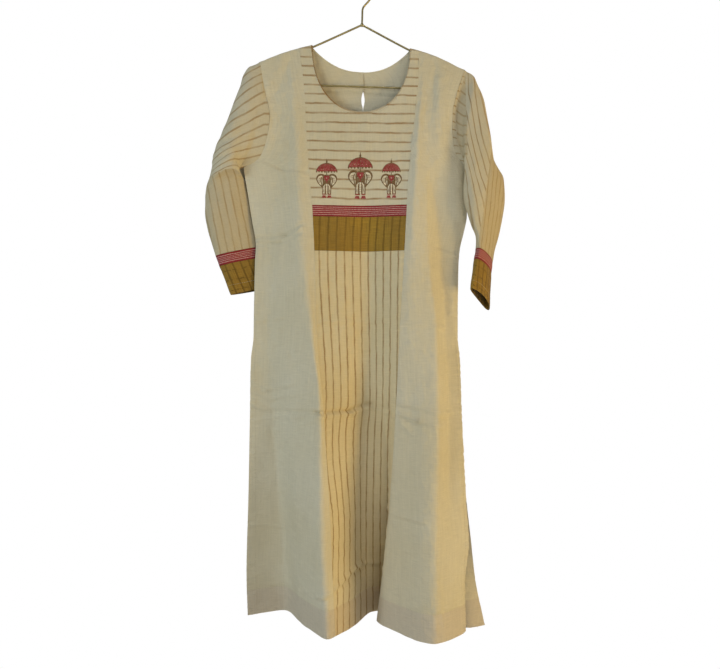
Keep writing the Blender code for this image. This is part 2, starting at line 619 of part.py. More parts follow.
def add_back(cloth):
    lines = []
    for column in BACK_COLUMNS:
        share = column / BACK_COLUMNS[-1]
        armhole = tuple(left + (right - left) * share
                        for left, right in zip(BACK_ROWS_LEFT, BACK_ROWS_RIGHT))
        lines.append(back_line(cloth, column, armhole + BACK_BODY_ROWS))
    points = by_rows([line[0] for line in lines])
    normals = by_rows([line[1] for line in lines])
    rows, columns = len(lines[0][0]), len(BACK_COLUMNS)
    first_level = len(WRAP_TURNS) + 1
    keyhole_row = first_level + BACK_ROWS_LEFT.index(KEYHOLE_BOTTOM)
    skip = set()
    for index, column in enumerate(BACK_COLUMNS[:-1]):
        if BACK_NECK_COLUMNS[0] <= column < BACK_NECK_COLUMNS[1]:
            skip.update((row, index) for row in range(len(WRAP_TURNS) - 1))
        if column == KEYHOLE_COLUMNS[0]:
            skip.update((row, index) for row in range(keyhole_row))
    seam_edges(points, rows, columns)
    cells = grid_cells(rows, columns, skip)
    return add_wall("back_panel", points, normals, cells, "cream cotton")


# Sleeves

class SleeveTube:
    """A tube of cloth whose rings pass smoothly through the rows of a table."""

    def __init__(self, rings, front_loop, back_loop):
        rows = range(len(rings))
        self.lines = [[SmoothLine(rows, [ring[corner][axis] for ring in rings])
                       for axis in range(3)] for corner in range(4)]
        front_turns = [math.pi * (i + 0.5) / len(front_loop) for i in range(len(front_loop))]
        back_turns = [math.pi * (1 + (i + 0.5) / len(back_loop)) for i in range(len(back_loop))]
        self.turns = front_turns + back_turns
        self.armhole = [point for point, normal in front_loop + back_loop]
        self.armhole_normals = [normal for point, normal in front_loop + back_loop]

    def on_ring(self, row, turn):
        corners = []
        for corner in self.lines:
            x, height, depth = (line.at(row) for line in corner)
            corners.append(Vector((x, -depth, height)))
        outer, front, under, back = corners
        middle = (outer + front + under + back) / 4
        long_way = (outer - under) / 2
        thick_way = (front - back) / 2
        bend = (outer + under - front - back) / 4
        return (middle + long_way * math.cos(turn) + thick_way * math.sin(turn)
                + bend * math.cos(2 * turn))

    def point(self, row, index):
        turn = self.turns[index]
        point = self.on_ring(row, turn)
        if row < 1:
            miss = self.armhole[index] - self.on_ring(0, turn)
            point = point + miss * (1 - row) ** 2
        return point


def tube_normals(points, rings, around, flip):
    """Normals of a tube's grid from its neighbouring points."""
    normals = []
    for ring in range(rings):
        before, after = max(ring - 1, 0), min(ring + 1, rings - 1)
        for i in range(around):
            along = points[after * around + i] - points[before * around + i]
            next_point = points[ring * around + (i + 1) % around]
            last_point = points[ring * around + (i - 1) % around]
            normals.append((next_point - last_point).cross(along).normalized() * flip)
    return normals


def tube_cells(rings, around):
    cells = []
    for ring in range(rings - 1):
        for i in range(around):
            j = (i + 1) % around
            cells.append((ring * around + i, ring * around + j,
                          (ring + 1) * around + j, (ring + 1) * around + i))
    return cells


def add_tube(name, sleeve, steps, flip, finish, at_armhole=False, sewn_end=True):
    around = len(sleeve.turns)
    points = [sleeve.point(row, i) for row in steps for i in range(around)]
    normals = tube_normals(points, len(steps), around, flip)
    if at_armhole:
        normals[:around] = sleeve.armhole_normals
    start = list(range(around))
    if not at_armhole:
        pull_in(points, start, [i + around for i in start])
    if sewn_end:
        end = [(len(steps) - 1) * around + i for i in range(around)]
        pull_in(points, end, [i - around for i in end])
    return add_wall(name, points, normals, tube_cells(len(steps), around), finish)


def armhole_loop(cloth, column, inner_column, level_rows):
    """Points just outside the body's armhole edge, with the body's normals."""
    points, normals = column_line(cloth, column, level_rows)
    inside = column_line(cloth, inner_column, level_rows)[0]
    last = len(points) - 1
    loop = []
    for i in range(last):
        along = points[i + 1] - points[max(i - 1, 0)]
        outward = normals[i].cross(along).normalized()
        if outward.dot(points[i] - inside[i]) < 0:
            outward = -outward
        loop.append((points[i] + outward * (SEAM_GAP * 0.75), normals[i]))
    outward = (points[last] - inside[last]).normalized()
    turned = (normals[last] + Vector((0, 0, -1))).normalized()
    loop.append((points[last] + outward * UNDERARM_STEP, turned))
    return loop


def add_sleeve(side, front, back, rings, steps, pieces):
    if side == "left":
        ends = (0, LEFT_COLUMNS[1], 0, BACK_COLUMNS[1])
        rows = (ARMHOLE_ROWS_LEFT, BACK_ROWS_LEFT)
    else:
        ends = (RIGHT_COLUMNS[-1], RIGHT_COLUMNS[-2], BACK_COLUMNS[-1], BACK_COLUMNS[-2])
        rows = (ARMHOLE_ROWS_RIGHT, BACK_ROWS_RIGHT)
    front_loop = armhole_loop(front, ends[0], ends[1], rows[0])
    back_loop = armhole_loop(back, ends[2], ends[3], rows[1])[::-1]
    sleeve = SleeveTube(rings, front_loop, back_loop)
    flip = -1 if side == "left" else 1
    add_tube("sleeve_" + side, sleeve, steps, flip, "striped cotton", at_armhole=True)
    sleeve_end, band_end, cuff_end = pieces
    add_tube("sleeve_" + side + "_band", sleeve, (sleeve_end, band_end), flip, "red print")
    cuff_steps = (band_end, (band_end + cuff_end) / 2, cuff_end)
    add_tube("sleeve_" + side + "_cuff", sleeve, cuff_steps, flip, "olive cotton",
             sewn_end=False)


# Wires

def sweep(name, path, radius, closed, sides=8):
    """A mesh tube along a path that lies in a plane of constant y."""
    shape = bmesh.new()
    rings = []
    count = len(path)
    for i, point in enumerate(path):
        before = path[i - 1] if closed or i > 0 else point
        after = path[(i + 1) % count] if closed or i < count - 1 else point
        along = (after - before).normalized()
        level = Vector((0, 1, 0))
        across = level.cross(along)
        ring = []
        for side in range(sides):
            turn = 2 * math.pi * (side + 0.5) / sides
            offset = across * math.cos(turn) + level * math.sin(turn)
            ring.append(shape.verts.new((point + offset * radius) * MM))
        rings.append(ring)
    spans = count if closed else count - 1
    for i in range(spans):
        here, there = rings[i], rings[(i + 1) % count]
        for side in range(sides):
            after = (side + 1) % sides
            shape.faces.new((here[side], here[after], there[after], there[side]))
    if not closed:
        shape.faces.new(rings[0])
        shape.faces.new(rings[-1])
    bmesh.ops.recalc_face_normals(shape, faces=shape.faces)
    mesh = bpy.data.meshes.new(name)
    shape.to_mesh(mesh)
    shape.free()
    mesh.shade_smooth()
    mesh.set_sharp_from_angle(angle=math.radians(60))
    return mesh


def frame_path():
    """The closed line of the hanger's arms and crossbar."""
    end_radius = (CROSSBAR_DROP - ARM_DROP) / (1 + math.cos(OUTER_SLOPE))
    centre_x = ARM_REACH - end_radius * math.sin(OUTER_SLOPE)
    centre_rise = -ARM_DROP - end_radius * math.cos(OUTER_SLOPE)
    apex_round = 4.0
    right = [(apex_round, -apex_round * math.tan(INNER_SLOPE)), (KNEE_REACH, -KNEE_DROP)]
    arm_steps = 4
    for i in range(1, arm_steps):
        share = i / arm_steps
        right.append((KNEE_REACH + (ARM_REACH - KNEE_REACH) * share,
                      -KNEE_DROP - (ARM_DROP - KNEE_DROP) * share))
    steps = 9
    for i in range(steps):
        turn = math.pi / 2 - OUTER_SLOPE - (math.pi - OUTER_SLOPE) * i / (steps - 1)
        right.append((centre_x + end_radius * math.cos(turn),
                      centre_rise + end_radius * math.sin(turn)))
    left = [(-x, rise) for x, rise in reversed(right)]
    level = [(0, -apex_round * math.tan(INNER_SLOPE) * 0.35)] + right + left
    line = []
    for level_x, rise in level:
        x, height = tilted(level_x, rise)
        if KNEE_REACH < abs(level_x) < ARM_REACH and rise > -ARM_DROP:
            height = wire_height(x)
        line.append(Vector((x, 0, height)))
    return line


def hook_path():
    """The stem and the open loop of the hook."""
    start_x = HOOK_SHIFT + HOOK_RADIUS * math.cos(HOOK_START_ANGLE)
    start_rise = HOOK_RISE + HOOK_RADIUS * math.sin(HOOK_START_ANGLE)
    line = [(0.0, 0.0), (0.0, HOOK_STEM * 0.5), (0.0, HOOK_STEM)]
    bend_steps = 5
    for i in range(1, bend_steps):
        t = i / bend_steps
        ease = t * t * (3 - 2 * t)
        line.append((start_x * (ease + t) / 2 * t ** 0.35,
                     HOOK_STEM + (start_rise - HOOK_STEM) * t))
    loop_steps = 22
    for i in range(loop_steps + 1):
        turn = HOOK_START_ANGLE + (HOOK_END_ANGLE - HOOK_START_ANGLE) * i / loop_steps
        line.append((HOOK_SHIFT + HOOK_RADIUS * math.cos(turn),
                     HOOK_RISE + HOOK_RADIUS * math.sin(turn)))
    return [Vector((x, 0, height)) for x, height in (tilted(x, rise) for x, rise in line)]


def add_guide(name, mesh, place=(0, 0, 0)):
    """A hidden shape that a Boolean joins to another."""
    guide = bpy.data.objects.new(name, mesh)
    bpy.context.scene.collection.objects.link(guide)
    guide.location = place
    guide.hide_render = True
    guide.display_type = "WIRE"
    return guide


def ball_mesh(name, radius):
    shape = bmesh.new()
    bmesh.ops.create_uvsphere(shape, u_segments=12, v_segments=8, radius=radius * MM)
    mesh = bpy.data.meshes.new(name)
    shape.to_mesh(mesh)
    shape.free()
    return mesh


def add_hanger():
    """Wire frame, hook and the soldered bead at the apex, joined into one piece."""
    mesh = sweep("hanger", frame_path(), WIRE_RADIUS, closed=True)
    hanger = add_object("hanger", mesh, "brass wire")
    apex_x, apex_height = tilted(0, 0)
    hook_line = hook_path()
    bead_place = (apex_x * MM, 0, apex_height * MM)
    guides = (
        add_guide("hook shape", sweep("hook", hook_line, WIRE_RADIUS * 0.985, closed=False)),
        add_guide("bead shape", ball_mesh("bead", COLLAR_RADIUS), bead_place),
        add_guide("tip shape", ball_mesh("tip", WIRE_RADIUS * 1.5), hook_line[-1] * MM),
    )
    for guide in guides:
        join = hanger.modifiers.new(guide.name, "BOOLEAN")
        join.operation = "UNION"
        join.solver = "EXACT"
        join.object = guide


# Back neck closure

def add_button_and_loop(back):
    """A small round button and the thread loop that goes round it, outside the back."""
    reach = BUTTON_RADIUS + SEAM_GAP + LOOP_WIRE
    left, right = BUTTON_X - reach - 0.2, KEYHOLE_CENTRE + 5.0
    half_width, half_height = (right - left) / 2, reach * 1.13
    lowest = BUTTON_Z - half_height
    below = [back.point(rail, lowest).y for rail in (KEYHOLE_COLUMNS[0] - 0.3,) + KEYHOLE_COLUMNS]
    face = max(below) + CLOTH / 2 + SEAM_GAP
    shape = bmesh.new()
    bmesh.ops.create_cone(shape, cap_ends=True, segments=16, radius1=BUTTON_RADIUS * MM,
                          radius2=BUTTON_RADIUS * 0.8 * MM, depth=BUTTON_THICKNESS * MM)
    for vert in shape.verts:
        turned = Vector((vert.co.x, vert.co.z, -vert.co.y))
        middle = Vector((BUTTON_X, face + BUTTON_THICKNESS / 2, BUTTON_Z)) * MM
        vert.co = turned + middle
    bmesh.ops.recalc_face_normals(shape, faces=shape.faces)
    mesh = bpy.data.meshes.new("back_neck_button")
    shape.to_mesh(mesh)
    shape.free()
    add_object("back_neck_button", mesh, "cream button")
    path = []
    loop_points = 20
    for i in range(loop_points):
        turn = 2 * math.pi * i / loop_points
        path.append(Vector(((left + right) / 2 + half_width * math.cos(turn),
                            face + LOOP_WIRE, BUTTON_Z + half_height * math.sin(turn))))
    loop = sweep("back_neck_loop", path, LOOP_WIRE, closed=True, sides=6)
    add_object("back_neck_loop", loop, "cream button")


def clear_scene():
    for old in list(bpy.data.objects):
        bpy.data.objects.remove(old, do_unlink=True)


def main():
    clear_scene()
    front = Cloth(FRONT_RAILS, 1)
    back = Cloth(BACK_RAILS, -1)
    add_hanger()
    add_yoke(front)
    add_centre_panel("front_print_band", front, BAND_ROWS, "red print", bottom=True)
    add_centre_panel("front_olive_panel", front, OLIVE_ROWS, "olive cotton", bottom=True)
    add_centre_panel("front_centre_skirt", front, SKIRT_ROWS, "striped cotton", bottom=False)
    add_side_panel("front_side_left", front, LEFT_COLUMNS, ARMHOLE_ROWS_LEFT)
    add_side_panel("front_side_right", front, RIGHT_COLUMNS, ARMHOLE_ROWS_RIGHT)
    add_back(back)
    add_button_and_loop(back)
    add_sleeve("left", front, back, LEFT_SLEEVE_RINGS, LEFT_SLEEVE_STEPS, LEFT_SLEEVE_PIECES)
    add_sleeve("right", front, back, RIGHT_SLEEVE_RINGS, RIGHT_SLEEVE_STEPS,
               RIGHT_SLEEVE_PIECES)


main()
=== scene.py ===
"""Long kurta tunic hanging on a wire clothes hanger, dressed for rendering.

Sizes are in millimetres and become metres when a mesh is made.  The origin is the point
inside the hook where the hanger rests.  X runs to the right as the garment is seen,
Z runs up, and depth means distance towards the viewer, so depth = -Y.
"""
import math

import bpy
import bmesh
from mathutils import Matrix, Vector, noise
from mathutils.bvhtree import BVHTree


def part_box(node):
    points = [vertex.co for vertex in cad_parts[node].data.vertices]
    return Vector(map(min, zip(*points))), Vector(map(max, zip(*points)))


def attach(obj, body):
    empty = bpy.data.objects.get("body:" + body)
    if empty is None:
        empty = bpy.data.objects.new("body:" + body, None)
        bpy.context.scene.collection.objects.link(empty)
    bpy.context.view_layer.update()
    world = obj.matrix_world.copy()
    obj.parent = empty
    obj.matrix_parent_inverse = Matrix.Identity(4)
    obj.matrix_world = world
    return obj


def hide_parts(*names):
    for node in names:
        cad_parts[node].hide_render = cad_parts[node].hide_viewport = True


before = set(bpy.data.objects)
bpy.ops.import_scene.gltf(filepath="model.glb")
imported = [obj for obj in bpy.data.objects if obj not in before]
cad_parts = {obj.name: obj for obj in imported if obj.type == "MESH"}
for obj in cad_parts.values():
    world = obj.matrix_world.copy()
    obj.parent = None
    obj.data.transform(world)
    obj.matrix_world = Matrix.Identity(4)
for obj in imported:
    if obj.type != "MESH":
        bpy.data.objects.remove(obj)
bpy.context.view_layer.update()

# Driving sizes

MM = 0.001
CLOTH = 1.0                  # wall of every cloth piece
SOLID_WALL = 1.2             # wall of the plain solids, whose place on the wire this cloth keeps
SEAM_GAP = 0.3               # space between two pieces at a seam
UPPER_ROW_SHARE = 0.45       # place of the first row between the wire and the level rows
UNDERARM_STEP = 0.8          # how far the sleeve's underarm point stands off the body
WIRE_RADIUS = 1.9
WIRE_CLEARANCE = 0.8         # space between the wire and the cloth that lies on it
WRAP_RADIUS = WIRE_RADIUS + WIRE_CLEARANCE + SOLID_WALL / 2
MESH_STEP = 3.2              # spacing of the cloth's mesh
BACK_STEP = 5.0              # the same on the plain back
CREASE_DEPTH = 2.3           # depth of a crease whose rise in the table is 1
PUCKER_DEPTH = 3.0           # depth of a pucker whose rise is 1
SLIT_EASE = 120.0            # height over which a slit's edge comes free of the seam above
SLEEVE_PITCH = 15.5          # from stripe to stripe round a sleeve and its cuff
HEM_DEPTH = 50.0             # height of the turned hem

HANGER_TILT = math.radians(1.9)          # the right arm hangs lower
APEX_HEIGHT = -85.4                      # where the two arms meet
KNEE_REACH = 95.5                        # from the middle to the bend at each neck point
INNER_SLOPE = math.radians(26.1)
OUTER_SLOPE = math.radians(19.6)
ARM_REACH = 189.0                        # from the middle to the end of the arm
LEFT_ARM_BOW = 3.0                       # how far each arm bows up between bend and end
RIGHT_ARM_BOW = 4.2
CROSSBAR_DROP = 121.4                    # from the apex down to the crossbar
HOOK_RADIUS = 22.0
HOOK_RISE = 65.3                         # from the apex up to the middle of the hook's loop
HOOK_SHIFT = -2.2
HOOK_STEM = 30.0
HOOK_START_ANGLE = math.radians(-46)
HOOK_END_ANGLE = math.radians(205)
COLLAR_RADIUS = 3.4

NECK_CENTRE = -2.0
FRONT_NECK_DEPTH = 128.0
BACK_NECK_DEPTH = 43.5
FRONT_NECK_SHAPE = (2.15, 1 / 2.15)      # powers of the neck curve: a near ellipse in front,
BACK_NECK_SHAPE = (2.4, 1.0)             # a shallow curve at the back

BAND_TOP = -444.0
OLIVE_TOP = -466.0
SKIRT_TOP = -533.0
SLIT_TOP = -700.0
HEM = -1257.0
LEFT_UNDERARM = -366.0
RIGHT_UNDERARM = -363.0

KEYHOLE_BOTTOM = -252.0
BACK_BODY_TOP = -370.0       # the back's first row below the armholes

# The side edges with their armholes, which the front and the back share down to the slits.
# Columns: height, x, depth.

LEFT_SIDE = (
    (-219.7, -190.7, 8), (-245, -183.5, 10), (-268, -180.4, 10), (-292, -182.6, 10),
    (-316, -187.6, 8.5), (-336, -194.5, 5.5), (-349, -203, 3.5), (-359, -217, 1.5),
    (-366, -232.5, 0.75), (-402, -227.3, 0.75), (-467, -217.1, 0.75), (-522, -208.8, 0.75),
    (-552, -210.6, 0.75), (-700, -213.6, 0.75))
RIGHT_SIDE = (
    (-216, 187.4, 8), (-236, 181.9, 9.5), (-258, 177.2, 10), (-292, 176.6, 10), (-316, 178, 9),
    (-336, 182, 6), (-350, 190, 3), (-358, 197.5, 1.5), (-363, 203, 0.75), (-400, 203.5, 0.75),
    (-440, 206.5, 0.75), (-460, 206.5, 0.75), (-495, 200.2, 0.75), (-525, 193, 0.75),
    (-556, 190, 0.75), (-700, 188.2, 0.75))


def behind(rows):
    """The same rows on the back, as far behind the middle as they were before it."""
    return tuple((height, x, -depth) for height, x, depth in rows)

# Rails of the front.  Each is a line down the cloth: its name, its x on the hanger wire, and
# rows of height, x and depth.

FRONT_RAILS = (
    ("left edge", -199.8, LEFT_SIDE + (
        (-745, -219, -1), (-840, -221.4, -5), (-1020, -226.1, -13), (-1176, -230.6, -18),
        (-1257, -228.7, -21))),
    ("left valley", -166, (
        (-222, -168, 7), (-268, -160, 8), (-338, -165, 9), (-400, -172, 8), (-530, -186, 5),
        (-700, -187, 4), (-840, -180, -5), (-1020, -171, -25), (-1257, -160, -46))),
    ("left slope", -150, (
        (-228, -151, 9), (-268, -144.5, 11), (-317, -143, 13), (-376, -146, 15), (-435, -148, 16),
        (-533, -150, 19), (-700, -141, 24.5), (-840, -131, 27), (-1010, -124, 27),
        (-1257, -113, 22))),
    ("left ridge", -135, (
        (-228, -133.7, 12), (-268, -129.6, 14.5), (-317, -125.4, 18), (-376, -123, 22),
        (-435, -120.8, 26), (-533, -113.8, 33), (-700, -95.2, 45), (-834, -80.3, 55),
        (-1010, -77.6, 68), (-1257, -64.5, 84))),
    ("left seam", -122.8, (
        (-228, -111.9, 10), (-280, -109.3, 12), (-339, -105.9, 15), (-376, -103, 17.5),
        (-443, -96.8, 22), (-534, -92, 27), (-700, -86.1, 38), (-834, -74.1, 47),
        (-1010, -62.4, 56), (-1257, -50.5, 72))),
    ("centre left", -75, (
        (-268, -62, 12), (-376, -58, 15), (-443, -54, 18), (-534, -48, 20), (-700, -34, 24),
        (-834, -33, 24), (-1010, -33, 22), (-1257, -14, 24))),
    ("centre valley", -18, (
        (-268, -14, 12), (-376, -14, 14.5), (-443, 0, 13.5), (-534, 10, 8.5), (-700, 12, 7),
        (-834, 10, -5), (-1010, 6, -14), (-1257, 18, -37))),
    ("inner fold", 45, (
        (-268, 48, 13), (-376, 46, 16), (-443, 44, 18), (-534, 43, 19), (-700, 41, 20),
        (-834, 43, -1), (-1010, 52, -16), (-1257, 45, -46))),
    ("right seam", 112, (
        (-196, 110.4, 7.5), (-234, 105.9, 11), (-269, 102.7, 14), (-324, 96, 17), (-362, 93, 20),
        (-400, 89, 22), (-443, 86.7, 25), (-536, 81.5, 30), (-700, 71.7, 36), (-836, 65, 36),
        (-1014, 53.8, 30), (-1092, 46.4, 24), (-1164, 39.7, 14), (-1257, 29, 3))),
    ("right seam ridge", 120, (
        (-196, 119, 8), (-269, 112, 17), (-400, 103, 27), (-536, 96, 35), (-700, 92, 41),
        (-836, 92, 46), (-1014, 86, 57), (-1257, 70, 56))),
    ("right slope", 132, (
        (-196, 130, 7), (-269, 124, 14), (-400, 113, 25), (-536, 112, 33), (-700, 117, 44),
        (-836, 118, 56), (-1014, 116, 76), (-1257, 108, 93.5))),
    ("right ridge", 143, (
        (-196, 140, 6.5), (-269, 134, 13.5), (-400, 124, 21.5), (-536, 126, 30), (-700, 140, 45),
        (-836, 141, 60), (-1014, 135, 79), (-1257, 131, 102))),
    ("right valley", 156, (
        (-196, 152, 9), (-269, 150, 16), (-345, 150, 15), (-400, 145, 12), (-536, 157, 6),
        (-700, 165, 11), (-836, 170, 20), (-1014, 165, 55), (-1257, 154, 91))),
    ("right outer", 178, (
        (-196, 172, 8), (-269, 164, 13), (-345, 172, 9), (-400, 182, 9), (-536, 177, 5),
        (-700, 178, 7), (-836, 185, 15), (-1014, 188, 43), (-1257, 191, 59))),
    ("right edge", 200.5, RIGHT_SIDE + (
        (-745, 192.2, 4), (-838, 194.2, 12), (-1014, 199.7, 32), (-1088, 204, 38),
        (-1172, 196, 44), (-1257, 197, 49))),
)

BACK_RAILS = (
    ("left edge", -199.8, behind(LEFT_SIDE) + (
        (-840, -214, -16), (-1020, -212, -38), (-1257, -208, -62))),
    ("left fold", -150, (
        (-268, -146, -14), (-400, -152, -17), (-530, -150, -19), (-700, -148, -26),
        (-840, -146, -44), (-1020, -144, -68), (-1257, -142, -98))),
    ("left neck", -97, (
        (-268, -90, -12), (-400, -86, -13), (-530, -84, -17), (-700, -82, -24), (-840, -82, -36),
        (-1020, -84, -54), (-1257, -86, -76))),
    ("keyhole left", 1.4, (
        (-178, 2.3, -7.7), (-186, 2.5, -7.2), (-200, 2.7, -6.6), (-212, 2.4, -7),
        (-220, 0.2, -8.4), (-229, -1.2, -9.3), (-238, -0.5, -9.8), (-246, 1.7, -10),
        (-252, 1.9, -10.4), (-282, -5, -12), (-338, -14, -15), (-400, -20, -18), (-530, -22, -25),
        (-700, -24, -34), (-840, -26, -50), (-1020, -28, -76), (-1257, -30, -106))),
    ("keyhole right", 2.6, (
        (-178, 1.9, -8.6), (-186, 1.7, -8.9), (-200, 1.5, -9.2), (-212, 2.3, -9.4),
        (-220, 3.9, -9.5), (-229, 5.2, -9.7), (-238, 4.5, -9.9), (-246, 2.5, -10.1),
        (-252, 2.3, -10.5), (-282, 9, -12), (-338, 18, -15), (-400, 24, -18), (-530, 26, -25),
        (-700, 28, -33), (-840, 30, -48), (-1020, 32, -72), (-1257, 34, -100))),
    ("right neck", 93, (
        (-268, 88, -12), (-400, 84, -13), (-530, 82, -16), (-700, 82, -21), (-840, 84, -30),
        (-1020, 90, -42), (-1257, 98, -58))),
    ("right fold", 150, (
        (-268, 144, -14), (-400, 146, -17), (-530, 142, -18), (-700, 140, -20), (-840, 144, -26),
        (-1020, 148, -30), (-1257, 150, -34))),
    ("right pleat", 176, (
        (-268, 162, -12), (-400, 178, -9), (-530, 170, -9), (-700, 166, -10), (-840, 172, -12),
        (-1020, 184, -4), (-1172, 192, 20), (-1257, 198, 36))),
    ("right edge", 200.5, behind(RIGHT_SIDE) + (
        (-838, 190, -1), (-1014, 204, 6), (-1096, 212.7, 12), (-1172, 220.4, 17),
        (-1257, 237.5, 22.5))),
)

ARMHOLE_ROWS_LEFT = (-200, -222, -245, -268, -292, -316, -336, -349, -359, LEFT_UNDERARM)
ARMHOLE_ROWS_RIGHT = (-200, -222, -245, -268, -292, -316, -336, -350, -358, RIGHT_UNDERARM)
BACK_ROWS_LEFT = (-200, -222, KEYHOLE_BOTTOM, -282, -312, -336, -349, -359, LEFT_UNDERARM)
BACK_ROWS_RIGHT = (-200, -222, KEYHOLE_BOTTOM, -282, -312, -336, -350, -358, RIGHT_UNDERARM)

# Sleeves.  Each row is one ring of the tube, given by its outer, front, under and back
# points as x, height and depth.  The first row is the armhole.

LEFT_SLEEVE_RINGS = (
    ((-202, -165, 0), (-180, -268, 10), (-233, -366, 0), (-180, -268, -10)),
    ((-219, -168, 0), (-198, -268, 14), (-240, -368, -2), (-197, -270, -17)),
    ((-232, -184, 0), (-217, -286, 20), (-242, -371, -6), (-214, -288, -22)),
    ((-243, -216, 0), (-235, -310, 23), (-242, -375, -11), (-227, -310, -25)),
    ((-266, -281, 2), (-246, -334, 26), (-240, -379, -15), (-234, -336, -30)),
    ((-289, -340, 3), (-250, -355, 28), (-238, -383, -18), (-244, -356, -33)),
    ((-298, -386, 3), (-251, -372, 28), (-234.5, -390, -20), (-250, -370, -35)),
    ((-305, -408, 3), (-253, -383, 15), (-231, -398, -21), (-256, -384, -36)),
    ((-308, -428, 3), (-255, -396, 12), (-227, -406, -22), (-261, -404, -36)),
    ((-308, -454, 3), (-258, -436, 13), (-215, -434, -24), (-262, -440, -36)),
    ((-303, -489, 3), (-251, -479, 9), (-203, -470, -27), (-253, -478, -35)),
    ((-287, -541, 2), (-234, -528, 5), (-177, -514, -36), (-232, -528, -40)),
    ((-280, -561, 1), (-226, -548, 1), (-169, -534, -40), (-224, -548, -43)),
    ((-258, -617, -1), (-207, -605, -9), (-147, -591, -50), (-203, -604, -48)),
)
RIGHT_SLEEVE_RINGS = (
    ((202, -178, 0), (177, -275, 10), (203, -363, 0), (177, -275, -10)),
    ((211, -181, 0), (188, -274, 5), (209, -365, 3), (188, -278, -18)),
    ((220, -188, 0), (197, -276, 8), (210, -371, 9), (202, -285, -27)),
    ((228, -206, 0), (203, -287, 21), (202, -380, 13), (217, -296, -36)),
    ((240, -240, 2), (218, -318, 25), (198.5, -395, 15), (231, -330, -46)),
    ((249, -300, 4), (235, -352, 28), (197, -412, 17), (240, -372, -54)),
    ((256, -348, -3), (245, -388, 29), (198.5, -434, 19), (249, -405, -58)),
    ((283, -388, -24), (250, -422, 26), (204.5, -456, 21), (256, -438, -61)),
    ((286, -428, -30), (253, -458, 20), (212.5, -482, 23), (256, -468, -61)),
    ((278, -482, -38), (257, -496, 9), (221, -506, 27), (250, -498, -56)),
    ((262, -552, -48), (251, -541, 2), (223, -528, 29), (234, -541, -28)),
    ((259, -577, -48), (249, -563, 1), (219, -549, 29), (232, -563, -27)),
    ((259, -645, -50), (243, -623, 0), (210, -606, 28), (234, -626, -26)),
)
LEFT_SLEEVE_PIECES = (11, 12, 13)        # rows where the sleeve, its band and its cuff end
RIGHT_SLEEVE_PIECES = (10, 11, 12)

# Smooth lines through a few rows

class SmoothLine:
    """A smooth line through points that never swings past them."""

    def __init__(self, places, values):
        pairs = sorted(zip(places, values))
        self.places = [place for place, value in pairs]
        self.values = [value for place, value in pairs]
        self.slopes = self.find_slopes()

    def find_slopes(self):
        count = len(self.places)
        steps = [self.places[i + 1] - self.places[i] for i in range(count - 1)]
        rises = [(self.values[i + 1] - self.values[i]) / steps[i] for i in range(count - 1)]
        slopes = [rises[0]]
        for i in range(1, count - 1):
            before, after = rises[i - 1], rises[i]
            if before * after <= 0:
                slopes.append(0.0)
            else:
                near = 2 * steps[i] + steps[i - 1]
                far = steps[i] + 2 * steps[i - 1]
                slopes.append((near + far) / (near / before + far / after))
        slopes.append(rises[-1])
        return slopes

    def at(self, place):
        if place <= self.places[0]:
            return self.values[0]
        if place >= self.places[-1]:
            return self.values[-1]
        i = 0
        while place > self.places[i + 1]:
            i += 1
        step = self.places[i + 1] - self.places[i]
        t = (place - self.places[i]) / step
        start = (1 + 2 * t) * (1 - t) ** 2 * self.values[i]
        start_slope = t * (1 - t) ** 2 * step * self.slopes[i]
        end = t * t * (3 - 2 * t) * self.values[i + 1]
        end_slope = t * t * (t - 1) * step * self.slopes[i + 1]
        return start + start_slope + end + end_slope


# The hanger's line

def tilted(x, rise):
    """Turn a point of the level hanger about its apex, and give its x and height."""
    turned_x = x * math.cos(HANGER_TILT) + rise * math.sin(HANGER_TILT)
    turned_rise = rise * math.cos(HANGER_TILT) - x * math.sin(HANGER_TILT)
    return turned_x, APEX_HEIGHT + turned_rise


KNEE_DROP = KNEE_REACH * math.tan(INNER_SLOPE)
ARM_DROP = KNEE_DROP + (ARM_REACH - KNEE_REACH) * math.tan(OUTER_SLOPE)
LEFT_KNEE = tilted(-KNEE_REACH, -KNEE_DROP)
RIGHT_KNEE = tilted(KNEE_REACH, -KNEE_DROP)
LEFT_ARM_END = tilted(-ARM_REACH, -ARM_DROP)
RIGHT_ARM_END = tilted(ARM_REACH, -ARM_DROP)


def wire_height(x):
    """The height of the wire's middle under a shoulder."""
    knee, end, bow = ((LEFT_KNEE, LEFT_ARM_END, LEFT_ARM_BOW) if x < 0
                      else (RIGHT_KNEE, RIGHT_ARM_END, RIGHT_ARM_BOW))
    share = (x - knee[0]) / (end[0] - knee[0])
    lift = bow * 4 * share * (1 - share) if 0 < share < 1 else 0.0
    return knee[1] + share * (end[1] - knee[1]) + lift


def wire_slope(x):
    """The direction of the wire under a shoulder, as a unit vector that points right."""
    rise = (wire_height(x + 1.0) - wire_height(x - 1.0)) / 2
    length = math.hypot(1.0, rise)
    return 1.0 / length, rise / length


def wrap_point(x, turn, side):
    """A point and normal of the cloth that lies on the wire.

    turn is 0 level with the wire and a quarter turn on top of it; side is 1 for the front
    and -1 for the back.
    """
    run, rise = wire_slope(x)
    forward = max(math.cos(turn) * WRAP_RADIUS, SEAM_GAP / 2)
    up = math.sin(turn) * WRAP_RADIUS
    point = Vector((x - rise * up, -side * forward, wire_height(x) + run * up))
    normal = Vector((-rise * math.sin(turn), -side * math.cos(turn), run * math.sin(turn)))
    return point, normal


# The cloth surface

